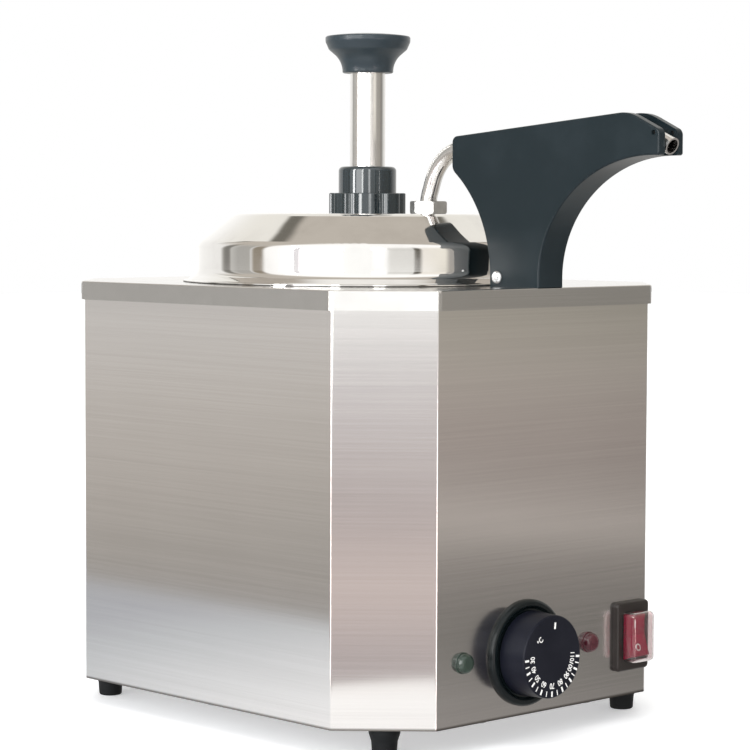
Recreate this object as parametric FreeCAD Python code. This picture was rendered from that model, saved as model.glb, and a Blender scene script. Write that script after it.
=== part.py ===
import FreeCAD, Part
import math
import os

from FreeCAD import Vector

# A countertop warmer for hot fudge: a water-bath casing, a lidded food jar with a hand pump, a heated spout.
# Millimetres. X to the right, Y to the back, Z up. Inside this file Y is measured from the pump's axis and
# Z from the surface that the feet stand on. Every piece is moved by frame_shift when it is written.

# Casing, an eight-sided wrap with its four corners cut at 45 degrees
body_width = 250.0
body_depth = 293.0
body_height = 235.0
corner_leg = 40.0
axis_to_front = 144.0
casing_sheet = 1.2
casing_bend = 2.4
casing_flange = 15.0
overrun = 1.0
screw_fit = 0.1
seat_gap = 0.3
same_point = 0.0001
head_round_share = 0.7

# Top plate, a flat sheet with a turned-down rim
plate_sheet = 1.2
rim_height = 10.8
rim_gap = 0.8
rim_round = 0.9
well_opening_radius = 92.5

# Base plate with its cooling slots
base_sheet = 1.2
base_edge_gap = 0.6
slot_length = 34.0
slot_width = 4.0
slot_pitch = 12.0
slot_row_offset = 36.0
slots_per_row = 9
base_screw_radius = 2.0
base_screw_head_radius = 3.6
base_screw_head_height = 2.2
base_screw_length = 7.0

# Feet, tapered rubber
foot_height = 15.0
foot_top_radius = 8.6
foot_waist_radius = 7.2
foot_sole_radius = 6.7
foot_collar = 3.0
foot_round = 1.2
foot_inset_x = 28.0
foot_inset_y = 27.5
foot_screw_radius = 2.0
foot_screw_head_radius = 3.6
foot_screw_head_height = 2.5
foot_recess_depth = 6.0
foot_screw_end = 4.0

# Water well, hung from the top plate
well_sheet = 1.2
well_depth = 175.0
well_flange_radius = 101.0
well_corner = 12.0
well_lip_bend = 2.0

# Food jar, standing in the well's mouth
jar_radius = 87.5
jar_sheet = 1.0
jar_depth = 150.0
jar_flange_radius = 96.5
jar_corner = 14.0
jar_lip_bend = 2.0

# Ring heater under the well, its strap, stud and nut, and the safety cut-out
heater_ring_radius = 58.0
heater_tube_radius = 4.0
heater_gap_angle = 24.0
heater_pin_length = 16.0
strap_width = 18.0
strap_sheet = 2.0
strap_overhang = 7.0
heater_stud_radius = 3.0
heater_stud_length = 18.0
heater_nut_flats = 10.0
heater_nut_height = 5.0
cutout_radius = 9.0
cutout_height = 9.0
cutout_offset = 34.0
cutout_ear_length = 30.0
cutout_ear_sheet = 1.0
cutout_blade_height = 8.0
cutout_blade_width = 6.3
cutout_blade_sheet = 0.8
cutout_blade_spacing = 8.0

# Control row on the front face
controls_height = 34.5
green_lamp_share = -0.7706
thermostat_share = -0.1847
red_lamp_share = 0.42
switch_inset = 14.0

# Pilot lamps
lens_radius = 5.4
lens_flange_radius = 5.9
lens_flange_height = 0.9
lens_reach = 4.9
lens_round = 2.6
lamp_neck_radius = 4.6
lamp_body_radius = 5.6
lamp_body_length = 16.0
lamp_nut_radius = 7.4
lamp_nut_height = 3.0

# Thermostat, its bezel, knob and sensing bulb
bezel_radius = 29.5
bezel_height = 3.2
bezel_lip = 3.4
bezel_floor = 1.6
bezel_brow_share = 0.66
bezel_round = 1.0
boss_radius = 5.5
boss_reach = 2.4
shaft_radius = 3.0
shaft_flat_depth = 0.9
shaft_reach = 15.0
shaft_depth = 12.0
shaft_fit = 0.05
thermostat_plate_width = 44.0
thermostat_plate_sheet = 1.5
thermostat_plate_height_share = 0.9
thermostat_plate_corner = 4.3
thermostat_can_radius = 18.5
thermostat_can_depth = 15.0
thermostat_block_width = 30.0
thermostat_block_height = 24.0
thermostat_block_depth = 9.0
thermostat_blade_length = 8.0
thermostat_blade_width = 6.3
thermostat_blade_sheet = 0.8
thermostat_screw_spacing = 28.0
thermostat_screw_radius = 1.8
thermostat_screw_head_radius = 3.2
thermostat_screw_head_height = 1.1
knob_face_radius = 22.8
knob_base_radius = 23.5
knob_lift = 2.4
knob_face_reach = 20.0
knob_wall = 2.6
knob_face_thickness = 3.0
knob_hub_radius = 6.8
knob_round = 1.0
bulb_radius = 3.0
bulb_length = 78.0
bulb_top_depth = 62.0
bulb_angle = 34.0
capillary_radius = 1.0
capillary_bend = 9.0
capillary_loop_drop = 12.0
clip_wall = 1.2
clip_height = 9.0
clip_height_shares = (0.15, 0.7)

# Rocker switch with its frame and clear splash cover
switch_frame_width = 27.2
switch_frame_height = 39.6
switch_frame_reach = 3.4
switch_frame_round = 2.6
switch_body_width = 21.0
switch_body_height = 33.0
switch_body_depth = 24.0
switch_blade_length = 8.0
switch_blade_spacing = 12.0
rocker_width = 15.8
rocker_radius = 13.0
rocker_gap = 0.4
rocker_pivot_depth = 2.2
rocker_crest = 3.4
rocker_back = 5.0
rocker_swing = 9.0
rocker_pin_radius = 1.2
rocker_pin_reach = 1.2
cover_width = 18.6
cover_height = 28.8
cover_reach = 12.0
cover_wall = 0.7
cover_round = 2.6
cover_edge_share = 0.3

# Wiring hardware inside, and the cable gland on the back
terminal_width = 58.0
terminal_depth = 22.0
terminal_height = 14.0
terminal_rib_height = 6.0
terminal_rib_width = 2.4
terminal_ways = 4
terminal_screw_radius = 2.6
terminal_inset = 53.0
terminal_x = -24.0
earth_stud_radius = 2.5
earth_stud_height = 16.0
earth_nut_flats = 8.0
earth_nut_height = 4.0
earth_x = 48.0
gland_inset = 27.0
gland_height = 46.0
gland_bore_radius = 3.7
gland_thread_radius = 7.5
gland_flats = 19.0
gland_hex_height = 5.0
gland_neck_reach = 9.0
gland_nut_radius = 9.2
gland_nut_reach = 21.0
gland_nut_round = 4.0
gland_lock_height = 4.5
gland_thread_depth = 8.0
gland_grips = 12
gland_grip_radius = 1.0

# Spout housing, a flat-sided moulding. Distances run forward from the pump's axis, heights up from the plate
housing_width = 20.0
housing_back = 79.2
housing_back_top = 83.5
housing_crown = 209.0
housing_crown_top = 94.6
nose_run = 21.6
nose_drop = 10.0
nose_height = 13.2
nose_lip = 5.6
foot_gap = 1.1
foot_length = 37.1
housing_toe = 5.0
throat_radius = 74.6
crown_round = 25.0
back_round = 3.5
throat_round = 6.0
nose_round = 4.0
nose_lip_round = 1.4
housing_edge_round = 1.0
housing_wall = 4.0
cavity_height = 50.0
channel_gap = 0.35
nose_floor_setback = 6.6
lead_hole_radius = 2.6
nose_hole_radius = 1.3
nose_hole_back = 3.9
nose_hole_drop = 1.4

# Spout bracket, its screws, the heat bar and cartridge heater
bracket_sheet = 1.6
bracket_height = 18.0
bracket_play = 0.4
bracket_screw_radius = 2.0
bracket_screw_head_radius = 3.5
bracket_screw_head_height = 2.0
bracket_screw_inset = 5.0
housing_screw_radius = 1.6
housing_screw_head_radius = 3.7
housing_screw_head_height = 2.3
housing_screw_forward = 6.6
housing_screw_height = 5.2
grommet_radius = 4.6
grommet_neck_radius = 3.6
grommet_bore_radius = 2.2
grommet_flange = 0.8
bar_setback = 18.8
bar_front_setback = 21.0
bar_depth = 9.4
bar_lip = 1.2
cartridge_radius = 3.0
cartridge_inset = 14.0
cartridge_depth = 5.0

# Lid, a polished pressing
lid_sheet = 1.0
lid_brim_radius = 108.0
lid_wall_radius = 99.4
lid_top_radius = 77.5
lid_height = 40.1
lid_brim_rise = 4.4
lid_brim_lip = 1.6
lid_shoulder_height = 22.6
lid_brim_bend = 5.0
lid_shoulder_bend = 6.0
lid_top_bend = 7.0

# Pump
cylinder_bore = 14.0
cylinder_wall = 1.2
cylinder_flange_radius = 21.0
cylinder_flange_height = 2.0
cylinder_bottom = 112.0
lock_nut_radius = 22.6
lock_nut_height = 11.9
lock_nut_lobes = 8
lobe_cut_radius = 5.0
lobe_round = 1.3
lobe_cut_share = 0.55
cap_radius = 17.0
cap_height = 15.5
cap_round = 2.6
cap_roof = 7.6
thread_fit = 0.05
plunger_radius = 10.4
plunger_wall = 1.2
plunger_fit = 0.05
stop_bead_radius = 13.4
stop_bead_height = 2.5
pump_stroke = 45.0
knob_gap = 54.6
pump_knob_radius = 24.9
pump_knob_neck_radius = 14.9
pump_knob_height = 22.9
pump_knob_neck_share = 0.3
pump_knob_rim_share = 0.6
pump_knob_crown_share = 0.93
pump_knob_rim_radius_share = 0.92
pump_knob_flare = 13.0
pump_knob_rim_round = 3.0
pump_knob_rim_lift_share = 1.5
pump_knob_dome_share = 0.72
pump_knob_dome_lift_share = 0.55
pump_knob_crest_round = 1.2
pump_knob_socket = 14.0
piston_height = 14.0
piston_fit = 0.1
seal_wire = 1.5
seal_fit = 0.05
seal_inset = 3.2
spring_wire_radius = 0.6
spring_turns = 6
spring_side_gap = 1.1
spring_end_gap = 0.3
spring_seat_gap = 4.0
valve_radius = 16.0
valve_socket = 8.0
valve_height = 32.0
valve_floor = 5.0
valve_inlet_radius = 5.5
valve_seat_height = 4.0
valve_round = 2.0
ball_radius = 6.5
ball_lift = 4.0
ball_gap = 0.15
cage_pin_radius = 1.2
arm_radius = 7.2
elbow_radius = 8.6
elbow_chamber_height = 12.5
elbow_chamber_gap = 1.0
outlet_seat_lift = 5.2
outlet_ball_radius = 4.4

# Discharge tube. It rises from the valve, leans forward over the lid and lies in the spout's channel
tube_radius = 4.8
tube_wall = 1.0
tube_rise = 50.8
tube_outlet_drop = 12.0
tube_lean_rise = 8.4
tube_lean_run = 9.8
tube_cover_back = 8.1
tube_cover_front = 6.8
tube_dip_setback = 4.1
tube_tip_reach = 0.7
tube_tip_cover = 8.6
tube_lean_bend = 20.0
tube_crest_bend = 27.0
tube_dip_bend = 80.0
tube_socket = 9.0
sleeve_radius = 7.2
sleeve_flange_radius = 10.5
sleeve_flange_height = 2.0
sleeve_drop = 6.0
tube_nut_flats = 19.0
tube_nut_height = 7.2
sleeve_reach = 5.2
nut_chamfer = 0.8

# Heights and places that follow from the sizes above
half_width = body_width / 2
half_depth = body_depth / 2
front_y = -axis_to_front
back_y = body_depth - axis_to_front
centre_y = (front_y + back_y) / 2
panel_half = half_width - corner_leg
green_lamp_x = panel_half * green_lamp_share
thermostat_x = panel_half * thermostat_share
red_lamp_x = panel_half * red_lamp_share
switch_x = panel_half - switch_inset
gland_x = gland_inset - panel_half
terminal_y = back_y - terminal_inset
casing_floor = foot_height
plate_top = casing_floor + body_height
plate_under = plate_top - plate_sheet
base_floor = casing_floor + casing_sheet
base_top = base_floor + base_sheet
well_bottom = plate_top - well_depth
controls_z = casing_floor + controls_height
lid_top = plate_top + lid_height
lid_under = lid_top - lid_sheet
nut_top = lid_top + lock_nut_height
cap_top = nut_top + cap_height
cap_ceiling = cap_top - cap_roof
cylinder_radius = cylinder_bore + cylinder_wall
cylinder_floor = plate_top - cylinder_bottom
valve_top = cylinder_floor + valve_socket
valve_bottom = valve_top - valve_height
knob_bottom = cap_top + knob_gap
knob_top = knob_bottom + pump_knob_height
spring_bottom = cylinder_floor
piston_bottom = spring_bottom + pump_stroke + spring_seat_gap + 2 * spring_turns * spring_wire_radius
piston_top = piston_bottom + piston_height
outlet_z = cylinder_floor - tube_outlet_drop
cheek_inner = tube_radius + channel_gap
housing_nose = housing_crown + nose_run
housing_nose_top = housing_crown_top - nose_drop
housing_nose_bottom = housing_nose_top - nose_height
housing_arch_end = housing_nose - nose_lip
nose_floor_end = housing_nose - nose_floor_setback
housing_foot_back = lid_brim_radius + foot_gap
housing_foot_front = housing_foot_back + foot_length
bar_start = housing_back + bar_setback
bar_end = housing_crown - bar_front_setback
tube_lean_height = lid_height + tube_lean_rise
tube_crest_forward = tube_rise + tube_lean_run
tube_crest_height = housing_back_top - tube_cover_back
tube_dip_forward = housing_crown - tube_dip_setback
tube_dip_height = housing_crown_top - tube_cover_front
tube_end_forward = housing_nose + tube_tip_reach
tube_end_height = housing_nose_top - tube_tip_cover
tip_fall = math.atan2(tube_dip_height - tube_end_height, tube_end_forward - tube_dip_forward)
tube_reach = tube_end_forward + tube_radius * math.sin(tip_fall)
spout_slope = math.atan2(tube_dip_height - tube_crest_height, tube_dip_forward - tube_crest_forward)
frontmost = -max(tube_reach, housing_nose)
backmost = back_y + gland_nut_reach
frame_shift = -(frontmost + backmost) / 2


def disc(radius, base, height, x=0, y=0):
    """An upright cylinder."""
    return Part.makeCylinder(radius, height, Vector(x, y, base))


def ring(outer, inner, base, height, x=0, y=0):
    """An upright tube."""
    hole = disc(inner, base - overrun, height + 2 * overrun, x, y)
    return disc(outer, base, height, x, y).cut(hole)


def lying(radius, start, end):
    """A cylinder from one point to another."""
    way = end - start
    return Part.makeCylinder(radius, way.Length, start, way)


def block(width, depth, height, x, y, base):
    """A box centred on x and y, standing on base."""
    return Part.makeBox(width, depth, height, Vector(x - width / 2, y - depth / 2, base))


def hexagon(flats, base, height, x=0, y=0):
    """An upright six-sided prism with chamfered outer corners."""
    corner = flats / math.sqrt(3)
    points = [
        Vector(x + corner * math.cos(math.radians(60 * i)), y + corner * math.sin(math.radians(60 * i)), base)
        for i in range(6)
    ]
    prism = Part.Face(Part.makePolygon(points + points[:1])).extrude(Vector(0, 0, height))
    bevel = min(nut_chamfer, height / 4)
    profile = [
        (0, base),
        (corner - bevel, base),
        (corner, base + bevel),
        (corner, base + height - bevel),
        (corner - bevel, base + height),
        (0, base + height),
    ]
    return prism.common(turned(profile, x=x, y=y))


def offset_line(points, distance):
    """The points of an open line moved sideways to its left, with mitred corners."""
    moved = []
    for i, (px, pz) in enumerate(points):
        normals = []
        for j in (i - 1, i):
            if 0 <= j < len(points) - 1:
                dx = points[j + 1][0] - points[j][0]
                dz = points[j + 1][1] - points[j][1]
                size = math.hypot(dx, dz)
                normals.append((-dz / size, dx / size))
        nx = sum(n[0] for n in normals)
        nz = sum(n[1] for n in normals)
        scale = len(normals) / (nx * nx + nz * nz)
        moved.append((px + nx * scale * distance, pz + nz * scale * distance))
    return moved


def left_turn(before, corner, after):
    """Whether a flat line turns left at a corner."""
    cross = (corner[0] - before[0]) * (after[1] - corner[1])
    return cross > (corner[1] - before[1]) * (after[0] - corner[0])


def rounded_edges(points, radii):
    """Straight runs through 3D points, joined by tangent arcs of the radii given for the inner corners."""
    edges = []
    start = points[0]

    def run_to(end):
        if (end - start).Length > same_point:
            edges.append(Part.LineSegment(start, end).toShape())

    for i in range(1, len(points) - 1):
        corner = points[i]
        back = (points[i - 1] - corner).normalize()
        ahead = (points[i + 1] - corner).normalize()
        radius = radii[i - 1]
        if radius > 0:
            half = back.getAngle(ahead) / 2
            run = radius / math.tan(half)
            first = corner + back * run
            last = corner + ahead * run
            middle = corner + (back + ahead).normalize() * (radius / math.sin(half) - radius)
            run_to(first)
            edges.append(Part.Arc(first, middle, last).toShape())
            start = last
        else:
            run_to(corner)
            start = corner
    run_to(points[-1])
    return edges


def turned(profile, radii=None, x=0, y=0):
    """A solid of revolution about an upright axis from a closed (radius, height) outline."""
    count = len(profile)
    radii = radii or [0] * count
    points = [Vector(r, 0, z) for r, z in profile]
    middle = (points[0] + points[1]) / 2
    edges = rounded_edges([middle] + points[1:] + [points[0], middle], list(radii[1:]) + [radii[0]])
    face = Part.Face(Part.Wire(edges))
    solid = face.revolve(Vector(0, 0, 0), Vector(0, 0, 1), 360)
    solid.translate(Vector(x, y, 0))
    return solid


def pressed(line, bends, sheet):
    """A pressing of even sheet about the pump's axis, its metal on the left of the line that it follows."""
    inner = offset_line(line, sheet)
    inner_bends = []
    for i in range(1, len(line) - 1):
        change = -sheet if left_turn(line[i - 1], line[i], line[i + 1]) else sheet
        inner_bends.append(max(bends[i - 1] + change, 0))
    face_edges = rounded_edges([Vector(r, 0, z) for r, z in line], bends)
    inner_edges = rounded_edges([Vector(r, 0, z) for r, z in inner], inner_bends)
    ends = [
        Part.LineSegment(Vector(line[k][0], 0, line[k][1]), Vector(inner[k][0], 0, inner[k][1])).toShape()
        for k in (0, -1)
    ]
    wire = Part.Wire(Part.__sortEdges__(face_edges + inner_edges + ends))
    return Part.Face(wire).revolve(Vector(0, 0, 0), Vector(0, 0, 1), 360)


def bent_tube(points, bends, radius, bore=0):
    """A round tube or rod along straight runs and tangent arcs."""
    path = Part.Wire(rounded_edges(points, bends))
    way = points[1] - points[0]

    def swept(size):
        circle = Part.Wire(Part.Circle(points[0], way, size).toShape())
        return path.makePipeShell([circle], True, False)

    tube = swept(radius)
    return tube.cut(swept(bore)) if bore else tube


def octagon(outset, base, height, bend=0):
    """A prism of the casing's plan, moved outwards by outset, with rounded upright corners."""
    wide = half_width + outset
    deep = half_depth + outset
    leg = corner_leg + (2 - math.sqrt(2)) * outset
    quarter = [(wide - leg, -deep), (wide, -deep + leg), (wide, deep - leg), (wide - leg, deep)]
    plan = quarter + [(-px, py) for px, py in reversed(quarter)]
    points = [Vector(px, centre_y + py, base) for px, py in plan]
    prism = Part.Face(Part.makePolygon(points + points[:1])).extrude(Vector(0, 0, height))
    if bend <= 0:
        return prism
    upright = [e for e in prism.Edges if abs(e.Vertexes[0].Z - e.Vertexes[1].Z) > height / 2]
    return prism.makeFillet(bend, upright)


def facing_front(shape, x, z=None):
    """Turn a piece that was modelled standing on the panel so that its top faces the front."""
    turned_shape = shape.copy()
    turned_shape.rotate(Vector(0, 0, 0), Vector(1, 0, 0), 90)
    turned_shape.translate(Vector(x, front_y, controls_z if z is None else z))
    return turned_shape


def facing_back(shape, x, z):
    """Turn a piece that was modelled standing on the back panel so that its top faces the back."""
    turned_shape = shape.copy()
    turned_shape.rotate(Vector(0, 0, 0), Vector(1, 0, 0), -90)
    turned_shape.translate(Vector(x, back_y, z))
    return turned_shape


def rounded_block(width, height, base, rise, corner, edge=0):
    """A plate with rounded corners, and rounded edges on its upper face."""
    plate = block(width, height, rise, 0, 0, base)
    upright = [e for e in plate.Edges if abs(e.Vertexes[0].Z - e.Vertexes[1].Z) > rise / 2]
    plate = plate.makeFillet(min(corner, width / 3, height / 3), upright)
    if edge <= 0:
        return plate
    upper = [e for e in plate.Edges if min(v.Z for v in e.Vertexes) > base + rise / 2]
    return plate.makeFillet(min(edge, rise / 2), upper)


def pan_screw(radius, head_radius, head_height, length):
    """A screw that points up, its domed head below zero."""
    head = turned(
        [(0, 0), (head_radius, 0), (head_radius, -head_height), (0, -head_height)],
        [0, 0, head_height * head_round_share, 0],
    )
    return head.fuse(disc(radius, 0, length)).removeSplitter()


def foot_places():
    """Name and place of each foot."""
    side = half_width - foot_inset_x
    near = front_y + foot_inset_y
    far = back_y - foot_inset_y
    return {
        "foot_front_left": (-side, near),
        "foot_front_right": (side, near),
        "foot_rear_left": (-side, far),
        "foot_rear_right": (side, far),
    }


def base_screw_places():
    """The base plate's screws: one at each side, two at the front and two at the back."""
    inset = casing_flange / 2 + casing_sheet / 2
    side = half_width - inset
    third = (half_width - corner_leg) / 2
    return [
        (-side, centre_y),
        (side, centre_y),
        (-third, front_y + inset),
        (third, front_y + inset),
        (-third, back_y - inset),
        (third, back_y - inset),
    ]


def thermostat_screw_places():
    """The thermostat's two fixing screws, to the left and right of its shaft."""
    return [(-thermostat_screw_spacing / 2, 0), (thermostat_screw_spacing / 2, 0)]


def make_casing():
    """The wrap: an open-topped octagonal tube with a flange turned in at its foot."""
    rise = body_height - plate_sheet
    shell = octagon(0, casing_floor, rise, casing_bend)
    shell = shell.cut(octagon(-casing_sheet, base_floor, rise, casing_bend - casing_sheet))
    shell = shell.cut(octagon(-casing_flange, casing_floor - overrun, casing_sheet + 2 * overrun))
    through = 2 * overrun + casing_sheet
    below = -casing_sheet - overrun
    tools = []
    for x in (green_lamp_x, red_lamp_x):
        tools.append(facing_front(disc(lamp_neck_radius + screw_fit, below, through), x))
    tools.append(facing_front(disc(boss_radius + screw_fit, below, through), thermostat_x))
    for dx, dz in thermostat_screw_places():
        hole = disc(thermostat_screw_radius + screw_fit, below, through, dx, dz)
        tools.append(facing_front(hole, thermostat_x))
    cutout = block(switch_body_width + seat_gap, switch_body_height + seat_gap, through, 0, 0, below)
    tools.append(facing_front(cutout, switch_x))
    gland_hole = disc(gland_thread_radius + screw_fit, below, through)
    tools.append(facing_back(gland_hole, gland_x, casing_floor + gland_height))
    for x, y in base_screw_places():
        tools.append(disc(base_screw_radius + screw_fit, casing_floor - overrun, through, x, y))
    for x, y in foot_places().values():
        tools.append(disc(foot_screw_radius + screw_fit, casing_floor - overrun, through, x, y))
    return shell.cut(tools)


def make_top_plate():
    """The top plate with its rim, the well's mouth and the spout's fixing holes."""
    outset = rim_gap + plate_sheet
    plate = octagon(outset, plate_top - rim_height, rim_height, casing_bend + outset)
    upper = [e for e in plate.Edges if min(v.Z for v in e.Vertexes) > plate_top - rim_height / 2]
    plate = plate.makeFillet(rim_round, upper)
    hollow = octagon(rim_gap, plate_top - rim_height - overrun, rim_height + overrun - plate_sheet,
                     casing_bend + rim_gap)
    through = plate_sheet + 2 * overrun
    tools = [hollow, disc(well_opening_radius, plate_under - overrun, through)]
    for y in bracket_screw_ys():
        tools.append(disc(bracket_screw_radius + screw_fit, plate_under - overrun, through, 0, y))
    tools.append(disc(grommet_neck_radius + screw_fit, plate_under - overrun, through, 0, grommet_y()))
    return plate.cut(tools)


def make_base_plate():
    """The flat base plate, held on the casing's flange, with two rows of cooling slots."""
    plate = octagon(-casing_sheet - base_edge_gap, base_floor, base_sheet)
    tools = []
    through = base_sheet + 2 * overrun
    straight = slot_length - slot_width
    for row_y in (centre_y - slot_row_offset, centre_y + slot_row_offset):
        for i in range(slots_per_row):
            x = (i - (slots_per_row - 1) / 2) * slot_pitch
            slot = block(slot_width, straight, through, x, row_y, base_floor - overrun)
            tools.append(slot)
            for end in (-1, 1):
                end_y = row_y + end * straight / 2
                tools.append(disc(slot_width / 2, base_floor - overrun, through, x, end_y))
    for x, y in base_screw_places():
        tools.append(disc(base_screw_radius + screw_fit, base_floor - overrun, through, x, y))
    for x, y in foot_places().values():
        tools.append(disc(foot_screw_radius + screw_fit, base_floor - overrun, through, x, y))
    earth = earth_place()
    tools.append(disc(earth_stud_radius + screw_fit, base_floor - overrun, through, earth[0], earth[1]))
    return plate.cut(tools)


def make_base_screws():
    """Six screws driven up through the flange and the base plate."""
    screw = pan_screw(base_screw_radius, base_screw_head_radius, base_screw_head_height, base_screw_length)
    return placed_copies(screw, [Vector(x, y, casing_floor) for x, y in base_screw_places()])


def placed_copies(shape, places):
    """Copies of one piece, as a group of separate solids."""
    copies = []
    for place in places:
        copy = shape.copy()
        copy.translate(place)
        copies.append(copy)
    return Part.makeCompound(copies)


def make_foot(x, y):
    """A tapered rubber foot with a collar, a waist and a recess for its screw."""
    profile = [
        (0, casing_floor),
        (foot_top_radius, casing_floor),
        (foot_top_radius, casing_floor - foot_collar),
        (foot_waist_radius, casing_floor - foot_height / 2),
        (foot_sole_radius, 0),
        (0, 0),
    ]
    foot = turned(profile, [0, foot_round / 2, foot_round, foot_round, foot_round, 0], x, y)
    recess = disc(foot_screw_head_radius + screw_fit, -overrun, foot_recess_depth + overrun, x, y)
    bore = disc(foot_screw_radius + screw_fit, -overrun, foot_height + 2 * overrun, x, y)
    return foot.cut([recess, bore])


def make_foot_screws():
    """The screw of each foot, its head in the recess."""
    length = base_top + foot_screw_end - foot_recess_depth
    screw = pan_screw(foot_screw_radius, foot_screw_head_radius, foot_screw_head_height, length)
    return placed_copies(screw, [Vector(x, y, foot_recess_depth) for x, y in foot_places().values()])


def make_well():
    """The water well, a deep pressing whose flange lies under the top plate."""
    wall = well_opening_radius + well_sheet
    flange = plate_under - well_sheet
    line = [(0, well_bottom), (wall, well_bottom), (wall, flange), (well_flange_radius, flange)]
    return pressed(line, [well_corner, well_lip_bend], well_sheet)


def make_jar():
    """The lift-out food jar, its flange resting on the top plate round the well's mouth."""
    bottom = plate_top - jar_depth
    line = [(0, bottom), (jar_radius, bottom), (jar_radius, plate_top), (jar_flange_radius, plate_top)]
    return pressed(line, [jar_corner, jar_lip_bend], jar_sheet)


def make_heater_ring():
    """A round tubular heater pressed against the well's bottom, open at the back, with two pins down."""
    z = well_bottom - heater_tube_radius
    sweep = 360 - heater_gap_angle
    centre = Vector(0, 0, z)
    up = Vector(0, 0, 1)
    tube = Part.makeTorus(heater_ring_radius, heater_tube_radius, centre, up, 0, 360, sweep)
    tube.rotate(centre, up, 90 + heater_gap_angle / 2)
    pieces = []
    for sign in (-1, 1):
        angle = math.radians(90 + sign * heater_gap_angle / 2)
        x = heater_ring_radius * math.cos(angle)
        y = heater_ring_radius * math.sin(angle)
        pieces.append(Part.makeSphere(heater_tube_radius, Vector(x, y, z)))
        pieces.append(disc(heater_tube_radius, z - heater_pin_length, heater_pin_length, x, y))
    return tube.multiFuse(pieces).removeSplitter()


def strap_floor():
    """Height of the heater strap's underside."""
    return well_bottom - 2 * heater_tube_radius - strap_sheet


def make_heater_strap():
    """The flat strap that clamps the ring heater."""
    span = 2 * (heater_ring_radius + strap_overhang)
    strap = block(span, strap_width, strap_sheet, 0, 0, strap_floor())
    upright = [e for e in strap.Edges if abs(e.Vertexes[0].Z - e.Vertexes[1].Z) > strap_sheet / 2]
    strap = strap.makeFillet(strap_width / 3, upright)
    hole = disc(heater_stud_radius + screw_fit, strap_floor() - overrun, strap_sheet + 2 * overrun)
    return strap.cut(hole)


def make_heater_stud():
    """The stud welded under the well, with the strap's nut on it."""
    stud = disc(heater_stud_radius, well_bottom - heater_stud_length, heater_stud_length)
    nut = hexagon(heater_nut_flats, strap_floor() - heater_nut_height, heater_nut_height)
    return stud.fuse(nut)


def make_cutout():
    """A button cut-out against the well's bottom, with its ears and two blades."""
    top = well_bottom
    ears = block(cutout_ear_length, cutout_radius, cutout_ear_sheet, 0, cutout_offset, top - cutout_ear_sheet)
    can = disc(cutout_radius, top - cutout_height, cutout_height, 0, cutout_offset)
    shape = can.fuse(ears)
    for sign in (-1, 1):
        x = sign * cutout_blade_spacing / 2
        base = top - cutout_height - cutout_blade_height
        blade = block(cutout_blade_sheet, cutout_blade_width, cutout_blade_height, x, cutout_offset, base)
        shape = shape.fuse(blade)
    return shape.removeSplitter()


def make_lens():
    """A domed pilot lens, standing on the panel."""
    profile = [
        (0, 0),
        (lens_flange_radius, 0),
        (lens_flange_radius, lens_flange_height),
        (lens_radius, lens_flange_height),
        (lens_radius, lens_reach),
        (0, lens_reach),
    ]
    return turned(profile, [0, 0, lens_flange_height / 3, 0, lens_round, 0])


def make_lamp_body():
    """A pilot lamp's body behind the panel, with its ring nut."""
    inner = -casing_sheet
    neck = disc(lamp_neck_radius, inner, casing_sheet)
    nut = hexagon(2 * lamp_nut_radius * math.cos(math.radians(30)), inner - lamp_nut_height, lamp_nut_height)
    body = disc(lamp_body_radius, inner - lamp_body_length, lamp_body_length)
    return neck.multiFuse([nut, body]).removeSplitter()


def make_thermostat():
    """The thermostat behind the panel: plate, round can, terminal block, blades and the shaft's boss."""
    inner = -casing_sheet
    plate_base = inner - thermostat_plate_sheet
    plate_height = thermostat_plate_width * thermostat_plate_height_share
    plate = rounded_block(thermostat_plate_width, plate_height, plate_base, thermostat_plate_sheet,
                          thermostat_plate_corner)
    can_base = plate_base - thermostat_can_depth
    can = disc(thermostat_can_radius, can_base, thermostat_can_depth)
    terminal = block(thermostat_block_width, thermostat_block_height, thermostat_block_depth, 0, 0,
                     can_base - thermostat_block_depth)
    boss = disc(boss_radius, plate_base, boss_reach - plate_base)
    shape = plate.multiFuse([can, terminal, boss])
    blade_base = can_base - thermostat_block_depth - thermostat_blade_length
    for sx in (-1, 1):
        for sy in (-1, 1):
            x = sx * thermostat_block_width / 4
            y = sy * thermostat_block_height / 4
            shape = shape.fuse(block(thermostat_blade_width, thermostat_blade_sheet, thermostat_blade_length,
                                     x, y, blade_base))
    tools = [disc(shaft_radius + shaft_fit, -shaft_depth - seat_gap, shaft_depth + boss_reach + 2 * overrun)]
    for dx, dz in thermostat_screw_places():
        depth = thermostat_plate_sheet + thermostat_can_depth / 2
        tools.append(disc(thermostat_screw_radius + screw_fit, inner - depth, depth + overrun, dx, dz))
    return facing_front(shape.cut(tools).removeSplitter(), thermostat_x)


def make_thermostat_screws():
    """Two countersunk-low screws through bezel and panel into the thermostat's plate."""
    length = bezel_floor + casing_sheet + thermostat_plate_sheet + thermostat_can_depth / 4
    screws = []
    for dx, dz in thermostat_screw_places():
        screw = pan_screw(thermostat_screw_radius, thermostat_screw_head_radius,
                          thermostat_screw_head_height, length)
        screw.rotate(Vector(0, 0, 0), Vector(1, 0, 0), 180)
        screw.translate(Vector(dx, dz, bezel_floor))
        screws.append(facing_front(screw, thermostat_x))
    return Part.makeCompound(screws)


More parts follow.
